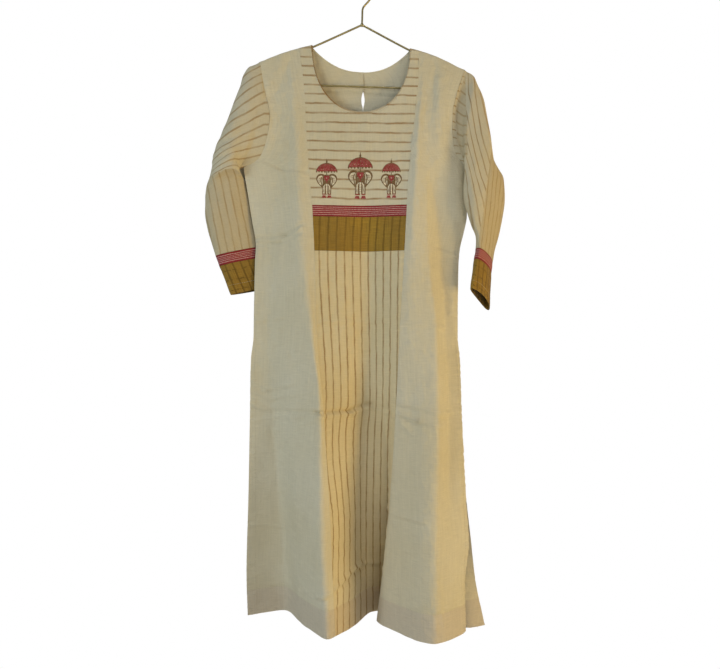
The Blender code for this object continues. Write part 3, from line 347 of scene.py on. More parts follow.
class Cloth:
    """The middle surface of the front or the back, over a rail number and a height."""

    def __init__(self, rails, side):
        self.side = side
        self.tops = SmoothLine(range(len(rails)), [top for name, top, rows in rails])
        self.x_lines = []
        self.depth_lines = []
        for name, top, rows in rails:
            heights = [wire_height(top)] + [row[0] for row in rows]
            self.x_lines.append(SmoothLine(heights, [top] + [row[1] for row in rows]))
            depths = [side * WRAP_RADIUS] + [row[2] for row in rows]
            self.depth_lines.append(SmoothLine(heights, depths))
        self.levels = {}

    def level(self, height):
        key = round(height, 4)
        if key not in self.levels:
            rails = range(len(self.x_lines))
            across = SmoothLine(rails, [line.at(height) for line in self.x_lines])
            depth = SmoothLine(rails, [line.at(height) for line in self.depth_lines])
            self.levels[key] = (across, depth)
        return self.levels[key]

    def point(self, rail, height):
        across, depth = self.level(height)
        return Vector((across.at(rail), -depth.at(rail), height))

    def normal(self, rail, height):
        last = len(self.x_lines) - 1
        before, after = max(rail - 0.02, 0), min(rail + 0.02, last)
        along = self.point(after, height) - self.point(before, height)
        down = self.point(rail, height - 1.0) - self.point(rail, height + 1.0)
        return along.cross(down).normalized() * -self.side

    def rail_at(self, x, height, low, high):
        """The rail number between two rails where the cloth has this x."""
        across = self.level(height)[0]
        for step in range(40):
            middle = (low + high) / 2
            if across.at(middle) < x:
                low = middle
            else:
                high = middle
        return (low + high) / 2


def neckline(share, depth, shape):
    """x and height of the neck edge; share runs from -1 at the left to 1 at the right."""
    half = (RIGHT_KNEE[0] - LEFT_KNEE[0]) / 2
    middle = (RIGHT_KNEE[0] + LEFT_KNEE[0]) / 2
    chord = LEFT_KNEE[1] + (RIGHT_KNEE[1] - LEFT_KNEE[1]) * (share + 1) / 2
    drop = depth * max(1 - abs(share) ** shape[0], 0.0) ** shape[1]
    return middle + half * share, chord - drop


def spread(start, end, step):
    """Even places from start to end, no further apart than step."""
    count = max(1, math.ceil(abs(end - start) / step - 1e-6))
    return [start + (end - start) * i / count for i in range(count + 1)]


# Woven stripes.  A phase is a whole number on the middle of each stripe.

class StripeTable:
    """The phase of woven stripes, from the places of a few of them along the cloth."""

    def __init__(self, numbers, rows):
        self.numbers = numbers
        places = [row[0] for row in rows]
        self.lines = [SmoothLine(places, [row[1][i] for row in rows])
                      for i in range(len(numbers))]

    def at(self, along, across):
        places = [line.at(along) for line in self.lines]
        order = sorted(range(len(places)), key=lambda i: places[i])
        i = 0
        while i < len(order) - 2 and across > places[order[i + 1]]:
            i += 1
        low, high = order[i], order[i + 1]
        share = (across - places[low]) / (places[high] - places[low])
        return self.numbers[low] + (self.numbers[high] - self.numbers[low]) * share


# height, x of stripes 0, 3, 6 and 9, which run down the olive panel and the skirt
SKIRT_STRIPES = StripeTable((0, 3, 6, 9), (
    (-463, (-81.3, -30.6, 16.7, 59.8)), (-530, (-82.9, -34.2, 12.1, 55.9)),
    (-823, (-68.4, -26.8, 15.7, 53.6)), (-901, (-68.8, -32.4, 11.2, 51.4)),
    (-1075, (-54.7, -24.6, 8, 50.8)), (-1214, (-57.6, -24.6, 8, 50.8))))

# x, heights of stripes 0, 2, 4, 6, 8 and 9, which run down the left upper sleeve
LEFT_UPPER_STRIPES = StripeTable((0, 2, 4, 6, 8, 9), (
    (-190.6, (-163, -198, -242, -285, -324, -340)),
    (-204.3, (-171.3, -206.6, -251.6, -292.7, -328, -343.6)),
    (-220, (-181.1, -218.3, -263.3, -302.5, -331.8, -347.5)),
    (-239.7, (-196.8, -234, -275.1, -314.2, -339.7, -353.4)),
    (-255.4, (-212, -247.6, -284.9, -326, -347.5, -359)),
    (-271.1, (-232, -265, -298, -333.8, -357.3, -367)),
    (-294.7, (-262, -290, -318, -349, -371, -380))))

# x, heights of stripes 0, 2, 4 and 6, in the hollow behind the right sleeve's front fold
RIGHT_HOLLOW_STRIPES = StripeTable((0, 2, 4, 6), (
    (180.8, (-206.7, -251.9, -298.1, -344.2)), (202.4, (-224.4, -270.6, -309.9, -346.8))))

# height, x of stripes -2, 0, 2 and 3, on the outer face of the right sleeve
RIGHT_OUTER_STRIPES = StripeTable((-2, 0, 2, 3), (
    (-224.4, (174.9, 197.5, 220.1, 230.9)), (-303, (188.7, 209.3, 229.9, 247)),
    (-381.6, (208.3, 226, 252, 267)), (-436.6, (218.1, 243.7, 271.2, 285)),
    (-509.3, (231.9, 257.4, 285, 298.7))))


# Straight stripes need no table: a place across them over the space from one to the next

YOKE_PITCH = 18.57
LEFT_LOWER_PITCH = 14.3
RIGHT_LOWER_PITCH = 9.0


def yoke_phase(x, z):
    wave = 1.6 * noise.noise(Vector((x / 60.0, z / 40.0, 8.0)))
    return (z + 149.8 + 0.021 * (x + 120.0) + wave) / YOKE_PITCH


def left_lower_phase(x, z):
    return (x + 0.19 * z + 349.2) / LEFT_LOWER_PITCH


def right_lower_phase(x, z):
    return (x - 0.11 * (z + 366.0) - 251.5) / RIGHT_LOWER_PITCH + 0.5


# Relief: how far the cloth stands off its smooth surface, in millimetres

# x and height of both ends, half width, rise; a minus rise is a valley
CREASES = (
    (-196.5, -352, -160, -371, 3.5, -1),
    (-160, -371, -114, -378, 3.5, -1),
    (-208, -506, -150, -503, 3.5, -1.2),
    (-150, -503, -121, -486, 3.5, -1.3),
    (-206, -518, -160, -516, 3, -0.8),
    (-160, -516, -121, -501, 3, -0.7),
    (-217, -833, -186, -846, 4.5, 1.3),
    (-186, -846, -86, -842, 4.5, -1.3),
    (-86, -843, -24, -842, 4.5, -1.9),
    (-24, -842, 15, -832, 4.5, -1.9),
    (15, -832, 57, -843, 4.5, -1.5),
    (57, -842, 108, -859, 4, 1.7),
    (108, -859, 152, -868, 4, 1.2),
    (69, -825, 170, -848, 4.5, 1.3),
    (60, -846, 92, -884, 3.5, 0.8),
    (52, -1037, 112, -1043, 4, 0.8),
    (-222, -1075, -165, -1082, 4, 0.7),
    (-195, -807, -140, -791.5, 3.5, 0.7),
    (-179, -823, -92, -805, 3.5, 0.6),
    (-203, -858, -121, -846, 3.5, -0.6),
    (-121, -862, -86, -848, 3.5, -0.7),
    (-219, -786, -186, -802, 3.5, 0.8),
    (-219, -806, -190, -818, 3.5, 0.7),
    (-205, -668, -150, -660, 4, 0.6),
    (-80, -672, 40, -670, 4, 0.6),
    (151, -526, 186, -537, 3.5, -0.9),
    (80, -672, 160, -684, 4, 0.5),
    (-80, -1184, -8, -1151, 5, 1.8),
    (-8, -1151, 34, -1154, 5, 1.5),
    (-141, -158, -178, -232, 11, -0.5),
    (-178, -232, -170, -330, 10, -0.3),
    (-205, -395, -150, -440, 8, 0.4),
    (150, -690, 168, -1010, 9, -0.4),
    (-178, -880, -150, -1190, 9, -0.5),
)


def ripple(x, z, across, along, seed):
    """Smooth noise with one bump per stated width and height."""
    return noise.noise(Vector((x / across, z / along, seed)))


def creased(x, z):
    """Pressed folds, each a soft line with a lip below it."""
    total = 0.0
    for x1, z1, x2, z2, width, rise in CREASES:
        run, fall = x2 - x1, z2 - z1
        length = math.hypot(run, fall)
        along = ((x - x1) * run + (z - z1) * fall) / length
        if along < -15 or along > length + 15:
            continue
        away = ((x - x1) * fall - (z - z1) * run) / length
        away += 2.0 * ripple(x, z, 22.0, 22.0, width)
        if abs(away) > 3 * width:
            continue
        past = max(-along, along - length, 0.0)
        line = math.exp(-(away / width) ** 2) - 0.6 * math.exp(-(away / width - 1.5) ** 2)
        total += CREASE_DEPTH * rise * line * math.exp(-(past / 8.0) ** 2)
    return total


def body_relief(x, z, seed):
    """Soft waves and crumples, the ridge of the turned hem, and the pressed creases."""
    low = min(max((-z - 380.0) / 400.0, 0.0), 1.0)
    relief = (0.7 + 0.5 * low) * ripple(x, z, 42.0, 230.0, seed)
    relief += 0.6 * ripple(x, z, 17.0, 60.0, seed + 3.0)
    relief += 0.9 * ripple(x + z, z - x, 13.0, 19.0, seed + 7.0)
    relief += 0.55 * ripple(x, z, 30.0, 9.0, seed + 9.0)
    hem = z - HEM - HEM_DEPTH
    if -14 < hem < 14:
        relief -= 1.1 * math.exp(-(hem / 3.5) ** 2)
        relief += 1.2 * ripple(x, z, 5.5, 14.0, seed + 11.0) * math.exp(-(hem / 8.0) ** 2)
    if hem < 0:
        relief += 0.5 * ripple(x, z, 11.0, 40.0, seed + 12.0)
    return relief + creased(x, z)


def pucker(distance, z, reach, rise, seed):
    """Small gathers beside a stitched edge."""
    if distance > 3 * reach:
        return 0.0
    wave = ripple(distance, z, 30.0, 6.5, seed) + 0.4 * ripple(distance, z, 9.0, 11.0, seed)
    return PUCKER_DEPTH * rise * wave * math.exp(-(distance / reach) ** 2)


def left_sleeve_relief(x, z, front):
    """Folds that run with the stripes and gather above the inside of the elbow."""
    relief = 0.5 * ripple(x, z, 30.0, 45.0, 21.0)
    if front and z > -380:
        phase = LEFT_UPPER_STRIPES.at(x, z)
        near = math.exp(-((z + 345.0 + 0.35 * (x + 235.0)) / 42.0) ** 2)
        fold = ripple(x + 0.5 * z, 0.0, 34.0, 1.0, 22.0)
        relief += near * (3.4 * ripple(phase, x, 0.8, 70.0, 23.0) + 1.2 * fold)
        relief += 1.8 * ripple(phase, x, 1.2, 60.0, 24.0)
    else:
        relief += 1.5 * ripple(x + 0.19 * z, z, 16.0, 70.0, 25.0)
    return relief


def right_sleeve_relief(x, z, front):
    """Folds along the stripes, and across them in the hollow behind the front fold."""
    relief = 0.5 * ripple(x, z, 30.0, 50.0, 31.0)
    if front and x < 204 and z > -352:
        phase = RIGHT_HOLLOW_STRIPES.at(x, z)
        relief += 1.6 * ripple(phase, x, 1.1, 40.0, 32.0)
    else:
        relief += 1.6 * ripple(x + 0.15 * z, z, 13.0, 60.0, 33.0)
    return relief


# Objects and meshes

def add_object(name, data):
    """Put an object into the scene."""
    made = bpy.data.objects.new(name, data)
    bpy.context.scene.collection.objects.link(made)
    return made


def add_piece(name, mesh, finish):
    mesh.materials.append(finish)
    return add_object(name, mesh)


def mesh_of(shape, name):
    """A smooth mesh from a finished shape."""
    mesh = bpy.data.meshes.new(name)
    shape.to_mesh(mesh)
    shape.free()
    mesh.shade_smooth()
    return mesh


# Cloth walls

stitch_lines = []


class ClothMesh:
    """A grid of cloth points that becomes a closed wall."""

    def __init__(self, rows, columns, closed=False):
        self.rows = rows
        self.columns = columns
        self.closed = closed
        self.points = []
        self.maps = []
        self.marks = {}
        self.skip = set()

    def add(self, point, u, v, **marks):
        self.points.append(point)
        self.maps.append((u, v))
        for name, value in marks.items():
            self.marks.setdefault(name, []).append(value)

    def find_normals(self, flip):
        normals = []
        for row in range(self.rows):
            above = max(row - 1, 0) * self.columns
            below = min(row + 1, self.rows - 1) * self.columns
            here = row * self.columns
            for column in range(self.columns):
                if self.closed:
                    before, after = (column - 1) % self.columns, (column + 1) % self.columns
                else:
                    before, after = max(column - 1, 0), min(column + 1, self.columns - 1)
                along = self.points[here + after] - self.points[here + before]
                down = self.points[below + column] - self.points[above + column]
                normals.append(along.cross(down).normalized() * flip)
        return normals

    def cells(self):
        found = []
        spans = self.columns if self.closed else self.columns - 1
        for row in range(self.rows - 1):
            for column in range(spans):
                if (row, column) in self.skip:
                    continue
                here, there = row * self.columns, (row + 1) * self.columns
                after = (column + 1) % self.columns
                found.append((here + column, here + after, there + after, there + column))
        return found


def make_wall(name, grid, normals, finish, wall=CLOTH):
    """Make a closed wall with a cloth map, in metres of cloth, on every face."""
    points, maps, cells = grid.points, grid.maps, grid.cells()
    half = wall / 2
    count = len(points)
    verts = [(point + normal * half) * MM for point, normal in zip(points, normals)]
    verts += [(point - normal * half) * MM for point, normal in zip(points, normals)]
    faces = []
    edges = {}
    for cell in cells:
        faces.append(cell)
        faces.append(tuple(count + i for i in reversed(cell)))
        for start, end in zip(cell, cell[1:] + cell[:1]):
            if (end, start) in edges:
                del edges[(end, start)]
            else:
                edges[(start, end)] = True
    for start, end in edges:
        faces.append((end, start, count + start, count + end))
    used = sorted({i for face in faces for i in face})
    places = {old: new for new, old in enumerate(used)}
    mesh = bpy.data.meshes.new(name)
    mesh.from_pydata([verts[i] for i in used], [], [[places[i] for i in face] for face in faces])
    for mark, values in grid.marks.items():
        kept = mesh.attributes.new(mark, "FLOAT", "POINT")
        kept.data.foreach_set("value", [values[i % count] for i in used])
    layer = mesh.uv_layers.new(name="cloth")
    for loop in mesh.loops:
        u, v = maps[used[loop.vertex_index] % count]
        layer.data[loop.index].uv = (u * MM, v * MM)
    shape = bmesh.new()
    shape.from_mesh(mesh)
    bmesh.ops.recalc_face_normals(shape, faces=shape.faces)
    shape.to_mesh(mesh)
    shape.free()
    mesh.shade_smooth()
    mesh.set_sharp_from_angle(angle=math.radians(60))
    return add_piece(name, mesh, finish)


WRAP_TURNS = [math.pi / 2 * (1 - i / 4) for i in range(5)]
TOP_SHARES = [i / 12 for i in range(1, 12)]


def column_points(cloth, column, level_rows):
    """A line of points down one rail: over the wire, then down to and along the level rows."""
    top_x = cloth.tops.at(column)
    points = [wrap_point(top_x, turn, cloth.side)[0] for turn in WRAP_TURNS]
    top = wire_height(top_x)
    heights = [top + (level_rows[0] - top) * share for share in TOP_SHARES]
    points += [cloth.point(column, height) for height in heights + list(level_rows)]
    return points


def cloth_width(points):
    """Distances along a row of points."""
    total = 0.0
    widths = [0.0]
    for before, after in zip(points, points[1:]):
        total += (after - before).length
        widths.append(total)
    return widths


def even_columns(cloth, start, end, height, step):
    """Rail numbers that divide the cloth evenly at one height."""
    fine = spread(start, end, 0.05)
    widths = cloth_width([cloth.point(rail, height) for rail in fine])
    places = SmoothLine(widths, fine)
    return [places.at(width) for width in spread(0.0, widths[-1], step)]


def add_lines(grid, lines, from_right=False):
    """Add a panel's lines to its grid row by row, and give the widths along each row."""
    widths = []
    for row in range(grid.rows):
        across = cloth_width([line[row] for line in lines])
        if from_right:
            across = [width - across[-1] for width in across]
        widths.append(across)
        for line, width in zip(lines, across):
            grid.add(line[row], width, line[row].z)
    return widths


def seam_in(grid, sides):
    """Pull the sewn edges back by half the seam gap."""
    points, rows, columns = grid.points, grid.rows, grid.columns
    edges = {
        "left": [(row * columns, row * columns + 1) for row in range(rows)],
        "right": [(row * columns + columns - 1, row * columns + columns - 2)
                  for row in range(rows)],
        "top": [(i, i + columns) for i in range(columns)],
        "bottom": [((rows - 1) * columns + i, (rows - 2) * columns + i)
                   for i in range(columns)],
    }
    for side in sides:
        for here, there in edges[side]:
            step = points[there] - points[here]
            points[here] = points[here] + step.normalized() * (SEAM_GAP / 2)


def relieve(grid, flip, relief, edges, slits=()):
    """Push a grid's points out by the relief, and give the new normals.

    The relief fades out at the sewn edges. Half of it stays at an edge named in slits, below
    the slit's top.
    """
    normals = grid.find_normals(flip)
    for i, point in enumerate(list(grid.points)):
        row, column = divmod(i, grid.columns)
        free = min(max((SLIT_TOP - point.z) / SLIT_EASE, 0.0), 0.5)
        fades = {"left": column / 1.5, "right": (grid.columns - 1 - column) / 1.5,
                 "top": row / 3, "bottom": (grid.rows - 1 - row) / 3}
        kept = [max(fades[edge], free if edge in slits else 0.0) for edge in edges]
        grid.points[i] = point + normals[i] * (relief(point, row, column) * min(1.0, *kept))
    return grid.find_normals(flip)


def stitch_along(grid, normals, places, side=1):
    """Keep a line just above the cloth along some of a grid's places, for its stitches."""
    lift = side * (CLOTH / 2 + 0.1)
    stitch_lines.append([grid.points[i] + normals[i] * lift for i in places])


def stitch_hem(grid, normals, side=1):
    """Keep a line for stitches along the top of the turned hem."""
    def miss(row):
        return abs(grid.maps[row * grid.columns][1] - HEM - HEM_DEPTH)

    first = min(range(grid.rows), key=miss) * grid.columns
    stitch_along(grid, normals, range(first + 1, first + grid.columns - 1), side)


def slit_rows(grid):
    """The first place of each row that lies beside an open slit."""
    firsts = range(0, len(grid.points), grid.columns)
    return [first for first in firsts if grid.points[first].z < SLIT_TOP]


def side_panel(name, cloth, start, end, armhole_rows, finish, seed):
    columns = even_columns(cloth, start, end, SLIT_TOP, MESH_STEP)
    rows = spread(armhole_rows[0], armhole_rows[-1], MESH_STEP)
    rows += spread(armhole_rows[-1], HEM, MESH_STEP)[1:]
    lines = [column_points(cloth, column, rows) for column in columns]
    grid = ClothMesh(len(lines[0]), len(columns))
    widths = add_lines(grid, lines, start != 0)
    seam_in(grid, ("left", "right"))
    outer = 0 if start == 0 else grid.columns - 1
    sewn = grid.columns - 1 - outer

    def relief(point, row, column):
        across = widths[row]
        open_edge = abs(across[column] - across[outer])
        seam = abs(across[column] - across[sewn])
        total = body_relief(point.x, point.z, seed)
        total += pucker(seam, point.z, 9.0, 0.65, seed + 15.0)
        if point.z < SLIT_TOP:
            total += pucker(open_edge, point.z, 9.0, 1.3, seed + 14.0)
        else:
            total += pucker(open_edge, point.z, 10.0, 0.5, seed + 14.0)
        return total

    normals = relieve(grid, -cloth.side, relief, ("left", "right", "top"),
                      ("left",) if outer == 0 else ("right",))
    inside = 2 if outer == 0 else grid.columns - 3
    stitch_along(grid, normals, [first + inside for first in slit_rows(grid)])
    stitch_hem(grid, normals)
    return make_wall(name, grid, normals, finish)


def centre_panel(name, cloth, top, bottom, finish, seed, sewn_bottom):
    columns = even_columns(cloth, LEFT_SEAM, RIGHT_SEAM, SLIT_TOP, MESH_STEP)
    rows = spread(top, bottom, MESH_STEP)
    grid = ClothMesh(len(rows), len(columns))
    widths = []
    for height in rows:
        line = [cloth.point(column, height) for column in columns]
        across = cloth_width(line)
        widths.append(across)
        for point, u in zip(line, across):
            grid.add(point, u, height, stripe=SKIRT_STRIPES.at(height, point.x), under=0.0,
                     stripe_under=0.0, share=(top - height) / (top - bottom))
    sides = ("left", "right", "top") + (("bottom",) if sewn_bottom else ())
    seam_in(grid, sides)

    def relief(point, row, column):
        across = widths[row]
        seam = min(across[column], across[-1] - across[column])
        return (body_relief(point.x, point.z, seed)
                + pucker(seam, point.z, 8.0, 0.65, seed + 15.0))

    normals = relieve(grid, -cloth.side, relief, sides)
    if not sewn_bottom:
        stitch_hem(grid, normals)
    return make_wall(name, grid, normals, finish)


def neck_shares(count):
    return [-math.cos(math.pi * i / (count - 1)) for i in range(count)]


def yoke_panel(name, cloth, finish, seed):
    """Rings of points from the neck edge out to the three seams."""
    rows = spread(ARMHOLE_ROWS_LEFT[0], BAND_TOP, MESH_STEP)
    left, right = (column_points(cloth, seam, rows) for seam in (LEFT_SEAM, RIGHT_SEAM))
    low_columns = even_columns(cloth, LEFT_SEAM, RIGHT_SEAM, BAND_TOP, MESH_STEP)[1:-1]
    border = left + [cloth.point(column, BAND_TOP) for column in low_columns] + right[::-1]
    wraps = len(WRAP_TURNS)
    neck = neck_shares(len(border) - 2 * (wraps - 1))
    rings = 36
    grid = ClothMesh(len(border), rings + 1)
    for i, outer in enumerate(border):
        from_end = min(i, len(border) - 1 - i)
        for ring in range(rings + 1):
            share = ring / rings
            if ring == rings:
                point = outer
            elif from_end < wraps:
                knee, seam = ((LEFT_KNEE[0], cloth.tops.at(LEFT_SEAM)) if i < wraps
                              else (RIGHT_KNEE[0], cloth.tops.at(RIGHT_SEAM)))
                x = knee + (seam - knee) * share
                point = wrap_point(x, WRAP_TURNS[from_end], cloth.side)[0]
            else:
                neck_x, neck_z = neckline(neck[i - wraps + 1], FRONT_NECK_DEPTH,
                                          FRONT_NECK_SHAPE)
                x = neck_x + (outer.x - neck_x) * share
                height = neck_z + (outer.z - neck_z) * share
                rail = cloth.rail_at(x, height, LEFT_SEAM, RIGHT_SEAM)
                point = cloth.point(rail, height)
            edge = 0.0 if ring == 0 else edge + (point - last_point).length
            last_point = point
            grid.add(point, point.x, point.z, stripe=yoke_phase(point.x, point.z), under=0.0,
                     stripe_under=0.0, neck_edge=edge)
    edges = list(grid.marks["neck_edge"])
    seam_in(grid, ("right", "top", "bottom"))

    def relief(point, row, column):
        total = 0.7 * body_relief(point.x, point.z, seed)
        total += pucker(edges[row * grid.columns + column], row * 4.0, 8.0, 0.5, seed + 16.0)
        return total

    normals = relieve(grid, cloth.side, relief, ("left", "right", "top", "bottom"))
    inner = range(wraps * grid.columns + 1, (grid.rows - wraps) * grid.columns, grid.columns)
    stitch_along(grid, normals, inner)
    return make_wall(name, grid, normals, finish)


def back_panel(name, cloth, finish, seed):
    level = -300.0
    left, middle_left, middle_right, right = (
        even_columns(cloth, start, end, level, BACK_STEP) for start, end in (
            (0, BACK_NECK[0]), (BACK_NECK[0], KEYHOLE[0]), (KEYHOLE[1], BACK_NECK[1]),
            (BACK_NECK[1], len(BACK_RAILS) - 1)))
    columns = left + middle_left[1:] + middle_right + right[1:]
    keyhole_column = len(left) + len(middle_left) - 2
    neck_columns = (len(left) - 1, len(left) + len(middle_left) + len(middle_right) - 2)
    upper = spread(BACK_ROWS_LEFT[0], KEYHOLE_BOTTOM, MESH_STEP)
    low = spread(BACK_BODY_TOP, HEM, BACK_STEP)
    arm_count = len(spread(KEYHOLE_BOTTOM, LEFT_UNDERARM, MESH_STEP))
    wraps = len(WRAP_TURNS)
    lines = []
    for column in columns:
        share = column / columns[-1]
        underarm = LEFT_UNDERARM + (RIGHT_UNDERARM - LEFT_UNDERARM) * share
        rows = upper + [KEYHOLE_BOTTOM + (underarm - KEYHOLE_BOTTOM) * i / (arm_count - 1)
                        for i in range(1, arm_count)]
        points = column_points(cloth, column, rows + low)
        if BACK_NECK[0] < column < BACK_NECK[1]:
            share = (cloth.tops.at(column) - NECK_CENTRE) / (RIGHT_KNEE[0] - NECK_CENTRE)
            top = neckline(max(-1, min(1, share)), BACK_NECK_DEPTH, BACK_NECK_SHAPE)[1]
            for k, part in enumerate([0.0] + TOP_SHARES):
                height = top + (rows[0] - top) * part
                points[wraps - 1 + k] = cloth.point(column, height)
        lines.append(points)
    grid = ClothMesh(len(lines[0]), len(columns))
    add_lines(grid, lines)
    for row in range(wraps - 1):
        for column in range(neck_columns[0], neck_columns[1]):
            grid.skip.add((row, column))
    keyhole_rows = wraps + len(TOP_SHARES) + len(upper) - 1
    for row in range(keyhole_rows):
        grid.skip.add((row, keyhole_column))
    seam_in(grid, ("left", "right"))

    def relief(point, row, column):
        open_edge = 5.0 * min(column, grid.columns - 1 - column)
        rise = 1.3 if point.z < SLIT_TOP else 0.5
        return (body_relief(point.x, point.z, seed)
                + pucker(open_edge, point.z, 9.0, rise, seed + 14.0))

    normals = relieve(grid, -cloth.side, relief, ("left", "right", "top"), ("left", "right"))
    for inside in (1, grid.columns - 2):
        stitch_along(grid, normals, [first + inside for first in slit_rows(grid)])
    for side in (1, -1):
        stitch_hem(grid, normals, side)
    neck = [wraps * grid.columns + column for column in range(*neck_columns)
            if column != keyhole_column]
    halves = keyhole_column - neck_columns[0]
    for places in (neck[:halves], neck[halves:]):
        stitch_along(grid, normals, places, -1)
    return make_wall(name, grid, normals, finish)


# Sleeves

class ArmholeEdge:
    """The sewn line just outside the body's armhole edge, over a place on its rows."""

    def __init__(self, cloth, rail, inner_rail, level_rows):
        self.cloth = cloth
        self.rails = (rail, inner_rail)
        self.heights = []
        for line in self.rails:
            top = wire_height(cloth.tops.at(line))
            upper = top + (level_rows[0] - top) * UPPER_ROW_SHARE
            self.heights.append([top, upper] + list(level_rows))
        self.last = len(level_rows) + 3

    def on_line(self, place, line):
        rail = self.rails[line]
        if place < 2:
            turn = math.pi / 2 * (1 - place / 2)
            return wrap_point(self.cloth.tops.at(rail), turn, self.cloth.side)[0]
        heights = self.heights[line]
        i = min(int(place) - 2, len(heights) - 2)
        height = heights[i] + (heights[i + 1] - heights[i]) * (place - 2 - i)
        return self.cloth.point(rail, height)

    def point(self, place):
        place = max(0.0, min(self.last, place))
        here = self.on_line(place, 0)
        away = here - self.on_line(place, 1)
        before, after = max(place - 0.2, 0.0), min(place + 0.2, self.last)
        along = (self.on_line(after, 0) - self.on_line(before, 0)).normalized()
        outward = (away - along * away.dot(along)).normalized()
        low = max(0.0, place - self.last + 1.0)
        return here + outward * (SEAM_GAP * 0.75 + (UNDERARM_STEP - SEAM_GAP * 0.75) * low)


def armhole_ring(front_edge, back_edge, turns):
    """The sleeve's first ring, which follows both armhole edges of the body."""
    ring = []
    for turn in turns:
        if turn < math.pi:
            edge, share = front_edge, turn / math.pi
        else:
            edge, share = back_edge, 2 - turn / math.pi
        place = share * (edge.last + 1) - 0.5
        point = edge.point(place)
        if place < 0:
            other = back_edge if edge is front_edge else front_edge
            point = point.lerp(other.point(0.0), -place)
        elif place > edge.last:
            other = back_edge if edge is front_edge else front_edge
            point = point.lerp(other.point(other.last), place - edge.last)
        ring.append(point)
    return ring


class SleeveTube:
    """A tube of cloth whose rings pass smoothly through the rows of a table."""

    def __init__(self, rings, front_edge, back_edge, around):
        rows = range(len(rings))
        self.lines = [[SmoothLine(rows, [ring[corner][axis] for ring in rings])
                       for axis in range(3)] for corner in range(4)]
        self.turns = [2 * math.pi * (i + 0.5) / around for i in range(around)]
        self.armhole = armhole_ring(front_edge, back_edge, self.turns)
        self.miss = [edge - first for edge, first in zip(self.armhole, self.plain_ring(0.0))]

    def corners(self, row):
        found = []
        for corner in self.lines:
            x, height, depth = (line.at(row) for line in corner)
            found.append(Vector((x, -depth, height)))
        return found

    def plain_ring(self, row):
        outer, front, under, back = self.corners(row)
        middle = (outer + front + under + back) / 4
        long_way = (outer - under) / 2
        thick_way = (front - back) / 2
        bend = (outer + under - front - back) / 4
        return [middle + long_way * math.cos(turn) + thick_way * math.sin(turn)
                + bend * math.cos(2 * turn) for turn in self.turns]

    def ring(self, row):
        points = self.plain_ring(row)
        if row < 1:
            points = [point + miss * (1 - row) ** 2
                      for point, miss in zip(points, self.miss)]
        return points


def even_rows(sleeve, start, end, step):
    """Row numbers that divide the sleeve evenly along its length."""
    fine = spread(start, end, 0.1)
    reach = []
    total = 0.0
    before = None
    for row, corners in zip(fine, (sleeve.corners(row) for row in fine)):
        if before is not None:
            total += max((a - b).length for a, b in zip(corners, before))
        reach.append(total)
        before = corners
    places = SmoothLine(reach, fine)
    return [places.at(width) for width in spread(0.0, reach[-1], step)]


def sleeve_marks(side, point, row):
    """Stripe phases on a sleeve, and which of the two shows; the same mark also sets where shade
    is painted on the sleeve.
    """
    if side == "left":
        under = 1.0 if row > 6.3 else 0.0
        return LEFT_UPPER_STRIPES.at(point.x, point.z), left_lower_phase(point.x, point.z), under
    outer = RIGHT_OUTER_STRIPES.at(point.z, point.x)
    if point.z > -352 and point.x < 203.5:
        return outer, RIGHT_HOLLOW_STRIPES.at(point.x, point.z), 1.0
    ridge_x = 251.5 + (point.z + 333.0) * 0.153
    if point.z < -333 and point.x > ridge_x:
        return outer, right_lower_phase(point.x, point.z), 1.0
    return outer, right_lower_phase(point.x, point.z), 0.0


def turned_phase(points, around, outermost, i):
    """Round the right sleeve's side and back its stripes carry on by the width of the cloth."""
    if outermost <= i < len(points) // 2:
        return None
    width = around[outermost] - around[i]
    if width < 0:
        width += around[-1]
    point = points[outermost]
    return RIGHT_OUTER_STRIPES.at(point.z, point.x) + width / SLEEVE_PITCH


def sleeve_piece(name, side, sleeve, start, end, flip, finish, seed, sewn):
    rows = even_rows(sleeve, start, end, MESH_STEP)
    grid = ClothMesh(len(rows), len(sleeve.turns), closed=True)
    reach = 0.0
    before = None
    for row in rows:
        points = sleeve.ring(row)
        around = cloth_width(points)
        half = around[-1] / 2
        if before is not None:
            reach += sum((a - b).length for a, b in zip(points, before)) / len(points)
        before = points
        share = (row - start) / (end - start)
        outermost = max(range(len(points) // 2), key=lambda i: points[i].x)
        for i, (point, u) in enumerate(zip(points, around)):
            phase, under_phase, under = sleeve_marks(side, point, row)
            if side == "right":
                turned = turned_phase(points, around, outermost, i)
                if turned is not None:
                    phase, under = turned, 0.0
            if "top" in sewn:
                phase, under = u / SLEEVE_PITCH, 0.0
            grid.add(point, u - half, -reach, stripe=phase, stripe_under=under_phase,
                     under=under, share=share)
    count = grid.columns
    seam_in(grid, sewn)
    shape = left_sleeve_relief if side == "left" else right_sleeve_relief

    def relief(point, row, column):
        return shape(point.x, point.z, column < count // 2)

    normals = relieve(grid, flip, relief, ("top", "bottom"))
    if sewn == ("top",):
        row = grid.rows - 1 - round(20.0 / MESH_STEP)
        stitch_along(grid, normals, [*range(row * count, (row + 1) * count), row * count])
    return make_wall(name, grid, normals, finish)


# Wire hanger, button and loop

